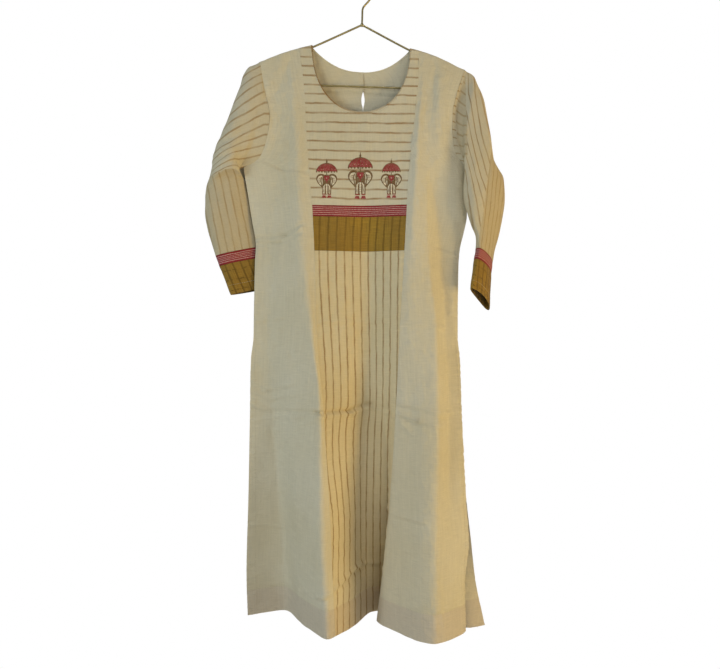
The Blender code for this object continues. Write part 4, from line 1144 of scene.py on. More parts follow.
def sweep(name, path, radius, closed, sides=8):
    """A mesh tube along a path that lies in a plane of constant y."""
    shape = bmesh.new()
    rings = []
    count = len(path)
    for i, point in enumerate(path):
        before = path[i - 1] if closed or i > 0 else point
        after = path[(i + 1) % count] if closed or i < count - 1 else point
        along = (after - before).normalized()
        level = Vector((0, 1, 0))
        across = level.cross(along)
        ring = []
        for side in range(sides):
            turn = 2 * math.pi * (side + 0.5) / sides
            offset = across * math.cos(turn) + level * math.sin(turn)
            ring.append(shape.verts.new((point + offset * radius) * MM))
        rings.append(ring)
    spans = count if closed else count - 1
    for i in range(spans):
        here, there = rings[i], rings[(i + 1) % count]
        for side in range(sides):
            after = (side + 1) % sides
            shape.faces.new((here[side], here[after], there[after], there[side]))
    if not closed:
        shape.faces.new(rings[0])
        shape.faces.new(rings[-1])
    bmesh.ops.recalc_face_normals(shape, faces=shape.faces)
    mesh = mesh_of(shape, name)
    mesh.set_sharp_from_angle(angle=math.radians(60))
    return mesh


def frame_path():
    """The closed line of the hanger's arms and crossbar."""
    end_radius = (CROSSBAR_DROP - ARM_DROP) / (1 + math.cos(OUTER_SLOPE))
    centre_x = ARM_REACH - end_radius * math.sin(OUTER_SLOPE)
    centre_rise = -ARM_DROP - end_radius * math.cos(OUTER_SLOPE)
    apex_round = 4.0
    right = [(apex_round, -apex_round * math.tan(INNER_SLOPE)), (KNEE_REACH, -KNEE_DROP)]
    arm_steps = 4
    for i in range(1, arm_steps):
        share = i / arm_steps
        right.append((KNEE_REACH + (ARM_REACH - KNEE_REACH) * share,
                      -KNEE_DROP - (ARM_DROP - KNEE_DROP) * share))
    steps = 9
    for i in range(steps):
        turn = math.pi / 2 - OUTER_SLOPE - (math.pi - OUTER_SLOPE) * i / (steps - 1)
        right.append((centre_x + end_radius * math.cos(turn),
                      centre_rise + end_radius * math.sin(turn)))
    left = [(-x, rise) for x, rise in reversed(right)]
    level = [(0, -apex_round * math.tan(INNER_SLOPE) * 0.35)] + right + left
    line = []
    for level_x, rise in level:
        x, height = tilted(level_x, rise)
        if KNEE_REACH < abs(level_x) < ARM_REACH and rise > -ARM_DROP:
            height = wire_height(x)
        line.append(Vector((x, 0, height)))
    return line


def hook_path():
    """The stem and the open loop of the hook."""
    start_x = HOOK_SHIFT + HOOK_RADIUS * math.cos(HOOK_START_ANGLE)
    start_rise = HOOK_RISE + HOOK_RADIUS * math.sin(HOOK_START_ANGLE)
    line = [(0.0, 0.0), (0.0, HOOK_STEM * 0.5), (0.0, HOOK_STEM)]
    bend_steps = 5
    for i in range(1, bend_steps):
        t = i / bend_steps
        ease = t * t * (3 - 2 * t)
        line.append((start_x * (ease + t) / 2 * t ** 0.35,
                     HOOK_STEM + (start_rise - HOOK_STEM) * t))
    loop_steps = 22
    for i in range(loop_steps + 1):
        turn = HOOK_START_ANGLE + (HOOK_END_ANGLE - HOOK_START_ANGLE) * i / loop_steps
        line.append((HOOK_SHIFT + HOOK_RADIUS * math.cos(turn),
                     HOOK_RISE + HOOK_RADIUS * math.sin(turn)))
    return [Vector((x, 0, height)) for x, height in (tilted(x, rise) for x, rise in line)]


def joined(name, meshes, finish):
    """One object from several meshes."""
    shape = bmesh.new()
    for mesh in meshes:
        shape.from_mesh(mesh)
        bpy.data.meshes.remove(mesh)
    return add_piece(name, mesh_of(shape, name), finish)


def smooth_path(points, closed, step):
    """Points a step apart along a Catmull-Rom curve through the given points."""
    count = len(points)
    found = []
    for i in range(count if closed else count - 1):
        if closed:
            a, b, c, d = (points[(i + k) % count] for k in (-1, 0, 1, 2))
        else:
            a, b, c, d = (points[min(max(i + k, 0), count - 1)] for k in (-1, 0, 1, 2))
        parts = max(1, round((c - b).length / step))
        for k in range(parts):
            t = k / parts
            found.append(0.5 * (2 * b + (c - a) * t + (2 * a - 5 * b + 4 * c - d) * t * t
                                + (3 * b - a - 3 * c + d) * t ** 3))
    return found if closed else found + [points[-1]]


def ball(radius, centre, flat=1.0):
    shape = bmesh.new()
    bmesh.ops.create_uvsphere(shape, u_segments=20, v_segments=12, radius=radius * MM)
    for vert in shape.verts:
        vert.co = Vector((vert.co.x, vert.co.y, vert.co.z * flat)) + centre * MM
    return mesh_of(shape, "ball")


def make_hanger(finish):
    hook = smooth_path(hook_path(), False, 3.0)
    frame_line = smooth_path(frame_path(), True, 6.0)
    apex_x, apex_height = tilted(0, 0)
    apex = Vector((apex_x, 0, apex_height))
    meshes = [sweep("frame", frame_line, WIRE_RADIUS, True, 14),
              sweep("hook", hook, WIRE_RADIUS * 0.985, False, 14),
              ball(COLLAR_RADIUS, apex, 1.1), ball(WIRE_RADIUS * 1.45, hook[-1])]
    return joined("wire_hanger", meshes, finish)


def make_button(finish):
    """A small turned button with a rim, and a round groove about its raised middle."""
    low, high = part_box("back_neck_button")
    middle = (low + high) / 2
    radius, depth = (high.x - low.x) / 2, high.y - low.y
    # share of the radius, share of the depth
    profile = ((0.0, 0.62), (0.1, 0.62), (0.14, 0.3), (0.24, 0.3), (0.3, 0.66), (0.6, 0.72),
               (0.74, 0.98), (0.88, 1.0), (0.98, 0.8), (1.0, 0.5), (0.9, 0.1), (0.0, 0.0))
    shape = bmesh.new()
    count = 28
    rings = []
    for reach, rise in profile:
        ring = []
        for i in range(count):
            turn = 2 * math.pi * i / count
            ring.append(shape.verts.new((middle.x + radius * reach * math.cos(turn),
                                         low.y + depth * rise,
                                         middle.z + radius * reach * math.sin(turn))))
        rings.append(ring)
    for here, there in zip(rings, rings[1:]):
        for i in range(count):
            j = (i + 1) % count
            shape.faces.new((here[i], here[j], there[j], there[i]))
    bmesh.ops.remove_doubles(shape, verts=shape.verts, dist=1e-6)
    bmesh.ops.recalc_face_normals(shape, faces=shape.faces)
    return add_piece("neck_button", mesh_of(shape, "neck_button"), finish)


def make_loop(finish):
    """Two twisted strands round the button."""
    low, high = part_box("back_neck_loop")
    middle = (low + high) / 2 / MM
    half = (high - low) / 2 / MM
    meshes = []
    for strand in (0, 1):
        path = []
        for i in range(90):
            turn = 2 * math.pi * i / 90
            twist = turn * 16 + strand * math.pi
            reach = 1 - half.y / half.x + 0.45 * half.y / half.x * math.cos(twist)
            path.append(Vector((middle.x + half.x * reach * math.cos(turn),
                                middle.y + 0.45 * half.y * math.sin(twist),
                                middle.z + (half.z - half.y) * math.sin(turn))))
        meshes.append(sweep("strand", path, half.y * 0.5, True, 8))
    return joined("neck_loop", meshes, finish)


# The block print on the yoke: an elephant seen from the front, under a parasol.
# Each row is a colour, a layer, whether it is mirrored too, and points along its middle line
# as x, height and half width, in millimetres from the middle of the feet.

PARASOL = (
    ("red", 1, False, ((0, 62, 24.0), (0, 65, 23.4), (0, 69, 21.5), (0, 73, 18), (0, 77, 12.5),
                       (0, 80.5, 5), (0, 81.5, 1))),
    ("brown", 2, True, ((23.6, 62.4, 0.9), (22, 67.4, 0.7), (17.6, 73.6, 0.6), (11, 78.6, 0.6),
                        (1, 81.6, 0.8))),
    ("brown", 2, False, ((0, 80, 2.4), (0, 83, 1.5), (0, 85, 2.1), (0, 87.5, 0.9), (0, 92, 0.3))),
    ("brown", 1, False, ((0, 62, 0.9), (0, 55, 0.9), (0, 50, 0.8))),
    ("brown", 2, False, ((0, 79, 0.3), (0, 64.5, 0.3))),
    ("brown", 2, True, ((1, 79.5, 0.3), (6.6, 74, 0.35), (8.6, 64.5, 0.4))),
    ("brown", 2, True, ((2, 80, 0.3), (12.4, 74, 0.35), (16.6, 64.5, 0.4))),
    ("cream", 2, True, ((3.6, 67.5, 0.8), (3.9, 67.8, 0.8))),
    ("cream", 2, True, ((11.4, 67, 0.8), (11.8, 67.3, 0.8))),
    ("cream", 2, True, ((18.6, 66, 0.7), (18.9, 66.3, 0.7))),
    ("brown", 2, True, ((2.2, 61.4, 2.0), (5.0, 61.2, 2.1), (6.6, 61.4, 0.4))),
    ("brown", 2, True, ((8.8, 61.4, 0.4), (11, 61, 2.1), (13.2, 61.4, 0.4))),
    ("brown", 2, True, ((15, 61.6, 0.4), (17.2, 61.2, 2.0), (19.4, 61.6, 0.4))),
    ("brown", 2, True, ((21, 61.6, 0.4), (23, 60.6, 1.7), (24.6, 61.6, 0.3))),
)
ELEPHANT = (
    ("brown", 1, True, ((5, 52, 1.5), (10, 53.4, 3.0), (14.6, 51, 5.6), (17.8, 45.5, 6.2),
                        (17, 39, 5.2), (14.2, 33, 3.6), (11.6, 28, 2.2), (9.6, 23, 0.8))),
    ("cream", 2, True, ((10.2, 51.4, 0.5), (13, 50.4, 1.8), (16, 47.6, 3.2), (17.6, 42.6, 3.6),
                        (16.2, 37.2, 2.6), (14.2, 33.0, 1.5), (12.6, 30, 0.6))),
    ("brown", 3, True, ((12.5, 41.2, 0.35), (15.6, 39.0, 0.5), (20.4, 38.2, 0.3))),
    ("brown", 3, True, ((12.0, 46, 0.35), (15.5, 44.4, 0.5), (20.6, 44.2, 0.3))),
    ("brown", 3, True, ((11, 48, 0.35), (14.5, 46.5, 0.6), (19.5, 46.6, 0.3))),
    ("brown", 3, True, ((12.5, 43.6, 0.35), (16, 41.6, 0.6), (21.4, 41.4, 0.3))),
    ("brown", 3, True, ((13, 38.6, 0.35), (15.6, 36.6, 0.55), (19.6, 35.6, 0.3))),
    ("brown", 1, False, ((0, 54.5, 4.5), (0, 51, 8.2), (0, 45, 9.6), (0, 38, 9.2), (0, 30, 9.6),
                         (0, 22, 10.2), (0, 14, 10.2), (0, 8, 9.8))),
    ("cream", 2, True, ((5.9, 29, 1.2), (6.6, 22, 1.9), (6.4, 15, 1.8), (6.1, 10.8, 1.6))),
    ("brown", 3, True, ((7.4, 26, 0.3), (7.0, 20, 0.35), (7.6, 14, 0.3))),
    ("cream", 2, False, ((0, 33, 1.7), (0, 26, 1.7), (0, 18, 1.5), (0.3, 11, 1.2), (1.4, 6.6, 1.0),
                         (0.4, 4.6, 0.8))),
    ("brown", 3, False, ((-1.7, 28, 0.3), (1.7, 28, 0.3))),
    ("brown", 3, False, ((-1.6, 23.4, 0.3), (1.6, 23.4, 0.3))),
    ("brown", 3, False, ((-1.5, 19, 0.3), (1.5, 19, 0.3))),
    ("brown", 3, False, ((-1.2, 14.8, 0.3), (1.4, 14.8, 0.3))),
    ("cream", 3, True, ((3.6, 32, 0.9), (5.2, 28, 0.8), (6.8, 25.6, 0.35))),
    ("brown", 3, True, ((6.3, 20, 0.3), (6.2, 15.4, 0.5), (6.2, 12.4, 0.3))),
    ("red", 3, True, ((3.2, 52.2, 2.4), (3.2, 49, 3.4), (2.4, 45, 2.8), (1.0, 41, 1.4),
                      (0.2, 38, 0.4))),
    ("red", 3, False, ((0, 36.4, 1.5), (0, 35.6, 1.6), (0, 34.6, 0.6))),
    ("cream", 4, False, ((0, 47.6, 0.9), (0, 45.8, 0.9))),
    ("cream", 4, True, ((5.0, 41.8, 0.8), (5.5, 41.6, 0.8))),
    ("brown", 5, True, ((5.2, 41.7, 0.4), (5.4, 41.6, 0.4))),
    ("red", 3, True, ((2.2, 9.4, 0.8), (6.2, 8.9, 0.9), (10.2, 9.4, 0.8))),
    ("red", 3, True, ((6, 6.4, 3.4), (6.1, 4, 3.9), (6.2, 1.6, 4.6), (6.2, 0.4, 4.8))),
    ("cream", 4, True, ((4.0, 1.4, 0.7), (4.2, 1.6, 0.7))),
    ("cream", 4, True, ((6.4, 1.2, 0.7), (6.6, 1.4, 0.7))),
    ("cream", 4, True, ((8.8, 1.4, 0.7), (9.0, 1.6, 0.7))),
)
# middle x, height of the feet, scale of the parasol's width, scale of the elephant
MOTIFS = ((-3.3, -431.5, 1.0, 1.0), (-68.6, -430.5, 0.86, 0.85), (57.0, -430.5, 0.74, 0.85))


def ribbon(shape, surface, rows, centre, scales, layer):
    """A flat printed stroke that follows the yoke's outer face."""
    line = [Vector((x, z, half)) for x, z, half in rows]
    if len(line) > 2:
        line = smooth_path(line, False, 1.6)
    middle = Vector(centre)
    strips = []
    widest = max(point.z for point in line)
    parts = max(2, math.ceil(2 * widest / 2.2))
    for i, point in enumerate(line):
        after, before = line[min(i + 1, len(line) - 1)], line[max(i - 1, 0)]
        along = (after - before).xy
        across = Vector((-along.y, along.x)).normalized()
        strip = []
        for k in range(parts + 1):
            spot = point.xy + across * (point.z * (2 * k / parts - 1))
            x = middle.x + spot.x * scales[0]
            z = middle.y + spot.y * scales[1]
            strip.append(shape.verts.new(on_surface(surface, x, z, 0.06 + 0.06 * layer)))
        strips.append(strip)
    for here, there in zip(strips, strips[1:]):
        for k in range(parts):
            try:
                shape.faces.new((here[k], here[k + 1], there[k + 1], there[k]))
            except ValueError:
                pass


def on_surface(surface, x, z, lift):
    """The point of the cloth's outer face at an x and height, moved out a little."""
    place, normal = surface.ray_cast(Vector((x, -400, z)) * MM, Vector((0, 1, 0)))[:2]
    if normal.y > 0:
        normal = -normal
    return place + normal * (lift * MM)


def make_motifs(yoke, finishes):
    surface = BVHTree.FromPolygons([vert.co for vert in yoke.data.vertices],
                                   [list(face.vertices) for face in yoke.data.polygons])
    made = []
    for colour, finish in finishes.items():
        shape = bmesh.new()
        for x, z, parasol_scale, scale in MOTIFS:
            for table, wide in ((PARASOL, parasol_scale), (ELEPHANT, scale)):
                for row_colour, layer, mirrored, rows in table:
                    if row_colour != colour:
                        continue
                    ribbon(shape, surface, rows, (x, z), (wide, scale), layer)
                    if mirrored:
                        other = [(-a, b, half) for a, b, half in rows]
                        ribbon(shape, surface, other, (x, z), (wide, scale), layer)
        for face in shape.faces:
            face.normal_update()
            if face.normal.y > 0:
                face.normal_flip()
        name = "print_" + colour
        made.append(add_piece(name, mesh_of(shape, name), finish))
    return made


# Node trees

class Shade:
    """Short ways to add and join the nodes of one tree."""

    def __init__(self, tree):
        self.tree = tree

    def add(self, kind, *inputs, **settings):
        node = self.tree.nodes.new(kind)
        for name, value in settings.items():
            setattr(node, name, value)
        for place, value in inputs:
            self.put(node.inputs[place], value)
        return node

    def put(self, socket, value):
        if isinstance(value, bpy.types.NodeSocket):
            self.tree.links.new(value, socket)
        else:
            socket.default_value = value

    def math(self, operation, a, b=0.0, c=None):
        inputs = [(0, a), (1, b)] + ([(2, c)] if c is not None else [])
        return self.add("ShaderNodeMath", *inputs, operation=operation).outputs[0]

    def mix(self, share, a, b):
        node = self.add("ShaderNodeMix", data_type="RGBA")
        for place, value in ((0, share), (6, a), (7, b)):
            self.put(node.inputs[place], value)
        return node.outputs[2]

    def scaled(self, vector, x, y, z=1.0):
        return self.add("ShaderNodeVectorMath", (0, vector), (1, (x, y, z)),
                        operation="MULTIPLY").outputs[0]

    def noise(self, vector, scale, detail=2.0, roughness=0.5):
        return self.add("ShaderNodeTexNoise", ("Vector", vector), ("Scale", scale),
                        ("Detail", detail), ("Roughness", roughness)).outputs[0]

    def ramp(self, value, low, high, start=0.0, end=1.0):
        return self.add("ShaderNodeMapRange", ("Value", value), ("From Min", low),
                        ("From Max", high), ("To Min", start), ("To Max", end)).outputs[0]

    def mark(self, name):
        return self.add("ShaderNodeAttribute", attribute_name=name).outputs["Fac"]

    def bump(self, strength, distance, height, *under):
        return self.add("ShaderNodeBump", ("Strength", strength), ("Distance", distance),
                        ("Height", height), *under).outputs[0]

    def off_whole(self, value):
        """How far a value is from the nearest whole number."""
        nearest = self.math("ROUND", value)
        return self.math("ABSOLUTE", self.math("SUBTRACT", value, nearest))

    def axis(self, vector, number):
        return self.add("ShaderNodeSeparateXYZ", (0, vector)).outputs[number]


def new_group(name, inputs, outputs, kind="ShaderNodeTree"):
    """A node group with its sockets, and the nodes at its two ends."""
    tree = bpy.data.node_groups.new(name, kind)
    for direction, sockets in (("INPUT", inputs), ("OUTPUT", outputs)):
        for socket, content in sockets:
            tree.interface.new_socket(socket, in_out=direction,
                                      socket_type="NodeSocket" + content)
    shade = Shade(tree)
    return tree, shade, shade.add("NodeGroupInput"), shade.add("NodeGroupOutput")


# Stitches: short threads along each stitch line, made with Geometry Nodes

def stitch_group(finish):
    tree, shade, start, end = new_group(
        "stitches", (("Line", "Geometry"), ("Spacing", "Float"), ("Length", "Float"),
                     ("Radius", "Float")), (("Threads", "Geometry"),), "GeometryNodeTree")
    radius = start.outputs["Radius"]
    curve = shade.add("GeometryNodeMeshToCurve", ("Mesh", start.outputs["Line"]))
    even = shade.add("GeometryNodeResampleCurve", mode="LENGTH")
    shade.put(even.inputs["Curve"], curve.outputs["Curve"])
    shade.put(even.inputs["Length"], start.outputs["Spacing"])
    bead = shade.add("GeometryNodeMeshUVSphere", ("Segments", 6), ("Rings", 6), ("Radius", 0.5))
    size = shade.add("ShaderNodeCombineXYZ", ("X", start.outputs["Length"]), ("Y", radius),
                     ("Z", radius))
    long_bead = shade.add("GeometryNodeTransform", ("Geometry", bead.outputs["Mesh"]),
                          ("Scale", size.outputs["Vector"]))
    along = shade.add("GeometryNodeInputTangent").outputs["Tangent"]
    turn = shade.add("FunctionNodeAlignRotationToVector", ("Vector", along), axis="X")
    placed = shade.add("GeometryNodeInstanceOnPoints", ("Points", even.outputs["Curve"]),
                       ("Instance", long_bead.outputs["Geometry"]),
                       ("Rotation", turn.outputs["Rotation"]))
    real = shade.add("GeometryNodeRealizeInstances", ("Geometry", placed.outputs["Instances"]))
    smooth = shade.add("GeometryNodeSetShadeSmooth", ("Geometry", real.outputs["Geometry"]))
    painted = shade.add("GeometryNodeSetMaterial", ("Geometry", smooth.outputs["Geometry"]),
                        ("Material", finish))
    shade.put(end.inputs["Threads"], painted.outputs["Geometry"])
    return tree


def make_stitches(finish):
    mesh = bpy.data.meshes.new("stitch lines")
    verts, edges = [], []
    for line in stitch_lines:
        first = len(verts)
        verts += [point * MM for point in line]
        edges += [(first + i, first + i + 1) for i in range(len(line) - 1)]
    mesh.from_pydata(verts, edges, [])
    lines = add_object("stitch lines", mesh)
    made = lines.modifiers.new("stitches", "NODES")
    made.node_group = stitch_group(finish)
    sizes = {"Spacing": 0.0036, "Length": 0.0026, "Radius": 0.0006}
    for item in made.node_group.interface.items_tree:
        if item.name in sizes:
            made[item.identifier] = sizes[item.name]
    bpy.context.view_layer.update()
    seen = lines.evaluated_get(bpy.context.evaluated_depsgraph_get())
    threads = bpy.data.meshes.new_from_object(seen)
    bpy.data.objects.remove(lines)
    return add_object("stitches", threads)


# Materials

def weave_group():
    """Hand-woven cotton: threads over and under, thick and thin places, and slubs."""
    tree, shade, start, end = new_group(
        "hand-woven cotton", (("Cloth", "Vector"),),
        (("Height", "Float"), ("Tone", "Float")))
    cloth = start.outputs["Cloth"]
    bend = shade.noise(cloth, 60.0, 2.0)
    moved = shade.add("ShaderNodeVectorMath", (0, cloth), (1, (0.0004, 0.0004, 0.0)), (2, bend),
                      operation="MULTIPLY_ADD")
    shade.put(moved.inputs[0], bend)
    shade.put(moved.inputs[2], cloth)
    apart = shade.add("ShaderNodeSeparateXYZ", (0, moved.outputs[0]))
    pitch = 2 * math.pi / 0.00062
    warp = shade.math("SINE", shade.math("MULTIPLY", apart.outputs[0], pitch))
    weft = shade.math("SINE", shade.math("MULTIPLY", apart.outputs[1], pitch * 0.92))
    cross = shade.math("MULTIPLY", warp, weft)
    thick_weft = shade.noise(shade.scaled(cloth, 45.0, 950.0), 1.0, 2.0)
    thick_warp = shade.noise(shade.scaled(cloth, 1100.0, 30.0), 1.0, 2.0)
    slub = shade.ramp(shade.noise(shade.scaled(cloth, 26.0, 620.0), 1.0, 1.0), 0.64, 0.76)
    broad = shade.noise(shade.scaled(cloth, 300.0, 12.0), 1.0, 1.0)
    height = shade.math("MULTIPLY_ADD", cross, 0.25, shade.math("MULTIPLY", thick_weft, 1.2))
    height = shade.math("MULTIPLY_ADD", thick_warp, 0.9, height)
    height = shade.math("MULTIPLY_ADD", slub, 0.8, height)
    tone = shade.math("MULTIPLY_ADD", cross, 0.02, shade.ramp(thick_weft, 0.3, 0.7, -0.05, 0.05))
    tone = shade.math("ADD", tone, shade.ramp(thick_warp, 0.3, 0.7, -0.035, 0.035))
    tone = shade.math("ADD", tone, shade.ramp(broad, 0.3, 0.7, -0.025, 0.025))
    tone = shade.math("MULTIPLY_ADD", slub, 0.06, tone)
    shade.put(end.inputs["Height"], height)
    shade.put(end.inputs["Tone"], tone)
    return tree


def stripe_group():
    """A woven stripe where the phase is a whole number, with uneven edges."""
    tree, shade, start, end = new_group(
        "woven stripe", (("Phase", "Float"), ("Cloth", "Vector"),
                         ("Half Width", "Float")), (("Mask", "Float"),))
    cloth = start.outputs["Cloth"]
    fray = shade.ramp(shade.noise(cloth, 1500.0, 1.0), 0.3, 0.7, -0.035, 0.035)
    drift = shade.ramp(shade.noise(cloth, 45.0, 1.0), 0.3, 0.7, -0.03, 0.03)
    phase = shade.math("ADD", start.outputs["Phase"], shade.math("ADD", fray, drift))
    half = start.outputs["Half Width"]
    mask = shade.ramp(shade.off_whole(phase), shade.math("MULTIPLY", half, 1.35),
                      shade.math("MULTIPLY", half, 0.55))
    shade.put(end.inputs["Mask"], mask)
    return tree


def crumple_group():
    """Handling creases too fine for the mesh, as a height, and a little soiling."""
    tree, shade, start, end = new_group(
        "handled cloth", (("Place", "Vector"),),
        (("Height", "Float"), ("Soil", "Float")))
    place = start.outputs["Place"]
    soft = shade.noise(place, 55.0, 3.0, 0.55)
    fine = shade.add("ShaderNodeTexVoronoi", ("Vector", shade.scaled(place, 1.0, 1.0, 1.8)),
                     ("Scale", 42.0), feature="DISTANCE_TO_EDGE").outputs["Distance"]
    crease = shade.ramp(fine, 0.0, 0.08, 0.0, 1.0)
    shade.put(end.inputs["Height"], shade.math("MULTIPLY_ADD", soft, 2.0,
                                               shade.math("MULTIPLY", crease, 0.2)))
    shade.put(end.inputs["Soil"], shade.ramp(shade.noise(place, 5.0, 3.0), 0.35, 0.7))
    return tree


weave, stripes, handled = weave_group(), stripe_group(), crumple_group()


def new_finish(name):
    """A new material, with its nodes, its shader and the place of each point."""
    material = bpy.data.materials.new(name)
    material.use_nodes = True
    shade = Shade(material.node_tree)
    place = shade.add("ShaderNodeTexCoord").outputs["Object"]
    return material, shade, material.node_tree.nodes["Principled BSDF"], place


class ClothFinish:
    """A cotton material: its colour is built up in steps, then finished with bump."""

    def __init__(self, name, colour, tone=1.0):
        self.material, self.shade, self.shader, self.place = new_finish(name)
        shade = self.shade
        self.cloth = shade.add("ShaderNodeUVMap", uv_map="cloth").outputs["UV"]
        self.weave = shade.add("ShaderNodeGroup", node_tree=weave)
        shade.put(self.weave.inputs["Cloth"], self.cloth)
        self.handled = shade.add("ShaderNodeGroup", node_tree=handled)
        shade.put(self.handled.inputs["Place"], self.place)
        soiled = [value * share for value, share in zip(colour, (0.93, 0.90, 0.82))]
        self.colour = shade.mix(self.handled.outputs["Soil"], (*colour, 1), (*soiled, 1))
        hem_top = HEM + HEM_DEPTH
        doubled = shade.ramp(shade.axis(self.place, 2), (hem_top + 1) * MM, (hem_top - 1) * MM)
        self.lay(doubled, [value * share for value, share in zip(colour, (0.9, 0.86, 0.87))])
        self.tone = tone

    def lay(self, mask, colour, strength=1.0):
        """Lay another colour over this one where the mask is 1."""
        if strength != 1.0:
            mask = self.shade.math("MULTIPLY", mask, strength)
        self.colour = self.shade.mix(mask, self.colour, (*colour, 1))

    def stripe_mask(self, mark, half):
        node = self.shade.add("ShaderNodeGroup", node_tree=stripes)
        self.shade.put(node.inputs["Phase"], self.shade.mark(mark))
        self.shade.put(node.inputs["Cloth"], self.cloth)
        self.shade.put(node.inputs["Half Width"], half)
        return node.outputs["Mask"]

    def sleeve_stripes(self, half):
        """Stripes that switch from one phase to the other where a fold hides the change."""
        shade = self.shade
        over, under = self.stripe_mask("stripe", half), self.stripe_mask("stripe_under", half)
        switch = shade.math("GREATER_THAN", shade.mark("under"), 0.5)
        difference = shade.math("SUBTRACT", under, over)
        return shade.math("MULTIPLY_ADD", difference, switch, over)

    def finish(self):
        shade = self.shade
        tone = shade.math("MULTIPLY_ADD", self.weave.outputs["Tone"], self.tone, 1.0)
        lit = shade.add("ShaderNodeVectorMath", (0, self.colour), (1, (1, 1, 1)),
                        operation="MULTIPLY")
        shade.put(lit.inputs[1], tone)
        shade.put(self.shader.inputs["Base Color"], lit.outputs[0])
        threads = shade.bump(0.5, 0.00016, self.weave.outputs["Height"])
        creases = shade.bump(0.65, 0.0016, self.handled.outputs["Height"], ("Normal", threads))
        shade.put(self.shader.inputs["Normal"], creases)
        rough = shade.math("MULTIPLY_ADD", self.weave.outputs["Tone"], -0.2, 0.92)
        shade.put(self.shader.inputs["Roughness"], rough)
        self.shader.inputs["Specular IOR Level"].default_value = 0.25
        self.shader.inputs["Sheen Weight"].default_value = 0.12
        self.shader.inputs["Sheen Roughness"].default_value = 0.5
        return self.material


CREAM = (0.64, 0.585, 0.45)
TAN = (0.27, 0.145, 0.045)
RED = (0.26, 0.024, 0.032)
OLIVE = (0.29, 0.175, 0.03)
OLIVE_DARK = (0.12, 0.068, 0.008)
# Painted warm light: a warmer cream for the centre skirt's striped cotton.
WARM_LIT_CREAM = (0.66, 0.565, 0.37)


def striped_cotton(name, colour, sleeve, neck):
    finish = ClothFinish(name, colour)
    shade = finish.shade
    mask = finish.sleeve_stripes(0.1) if sleeve else finish.stripe_mask("stripe", 0.1)
    worn = shade.ramp(shade.noise(finish.cloth, 30.0, 2.0), 0.35, 0.6, 0.45, 0.78)
    finish.lay(shade.math("MULTIPLY", mask, worn), TAN)
    if sleeve:
        # Painted shade: the cloth is darker where the under mark is set, below the left elbow's
        # fold, in the hollow behind the right front fold and on the right sleeve's rear bulge.
        finish.lay(shade.mark("under"), (0.42, 0.32, 0.17), 0.42)
        # Painted shade: the whole sleeve cloth is dimmed a little with a tan.
        finish.lay(1.0, (0.42, 0.33, 0.19), 0.28)
    if neck:
        # Painted shadow of the turned neck edge: a tan line along it, strong at the left and faint
        # at the right.
        edge = shade.ramp(shade.mark("neck_edge"), 2.2, 3.4, 1.0, 0.0)
        left = shade.ramp(shade.axis(finish.place, 0), -0.07, 0.0, 0.95, 0.3)
        finish.lay(shade.math("MULTIPLY", edge, left), TAN)
    return finish.finish()


def red_band():
    """Printed lines along a red band: five pale lines, and darker edges."""
    finish = ClothFinish("red print", RED, 2.0)
    shade = finish.shade
    wander = shade.ramp(shade.noise(finish.cloth, 90.0, 1.0), 0.3, 0.7, -0.012, 0.012)
    share = shade.math("ADD", shade.mark("share"), wander)
    phase = shade.math("MULTIPLY", share, 6.0)
    from_middle = shade.math("ABSOLUTE", shade.math("SUBTRACT", share, 0.5))
    inside = shade.math("LESS_THAN", from_middle, 0.43)
    worn = shade.ramp(shade.noise(finish.cloth, 420.0, 2.0), 0.35, 0.6, 0.45, 1.0)
    line = shade.math("MULTIPLY", shade.ramp(shade.off_whole(phase), 0.23, 0.11), inside)
    finish.lay(shade.math("MULTIPLY", line, worn), (0.64, 0.40, 0.36), 0.9)
    edge = shade.ramp(from_middle, 0.44, 0.49)
    finish.lay(edge, (0.16, 0.012, 0.015), 0.7)
    return finish.finish()


def olive_cotton(name, crossed):
    finish = ClothFinish(name, OLIVE, 3.0)
    shade = finish.shade
    if not crossed:
        side = shade.math("ABSOLUTE", shade.axis(finish.place, 0))
        middle = shade.ramp(side, 0.022, 0.060, 1.0, 0.0)
        finish.lay(middle, (0.38, 0.225, 0.028), 0.6)
    finish.lay(finish.stripe_mask("stripe", 0.11), OLIVE_DARK, 0.8 if crossed else 0.7)
    if crossed:
        rows = shade.math("MULTIPLY", shade.mark("share"), 3.4)
        dashes = shade.ramp(shade.noise(finish.cloth, 260.0, 1.0), 0.45, 0.55)
        line = shade.math("MULTIPLY", shade.ramp(shade.off_whole(rows), 0.09, 0.04), dashes)
        finish.lay(line, OLIVE_DARK, 0.8)
    fade = shade.ramp(shade.noise(finish.place, 16.0, 2.0), 0.4, 0.65)
    finish.lay(fade, (0.25, 0.15, 0.03), 0.5)
    return finish.finish()


def print_ink(name, colour):
    """Block-printed ink that lies in the weave and thins out in specks."""
    material, shade, shader, place = new_finish(name)
    specks = shade.ramp(shade.noise(place, 900.0, 3.0), 0.56, 0.72)
    broad = shade.ramp(shade.noise(place, 120.0, 2.0), 0.3, 0.7)
    paler = [min(1.0, value * 1.35 + 0.03) for value in colour]
    mixed = shade.mix(broad, (*colour, 1), (*paler, 1))
    worn = shade.math("MULTIPLY", specks, 0.45)
    shade.put(shader.inputs["Base Color"], shade.mix(worn, mixed, (*CREAM, 1)))
    shade.put(shader.inputs["Normal"],
              shade.bump(0.5, 0.0001, shade.noise(place, 1500.0, 1.0)))
    shader.inputs["Roughness"].default_value = 0.9
    return material


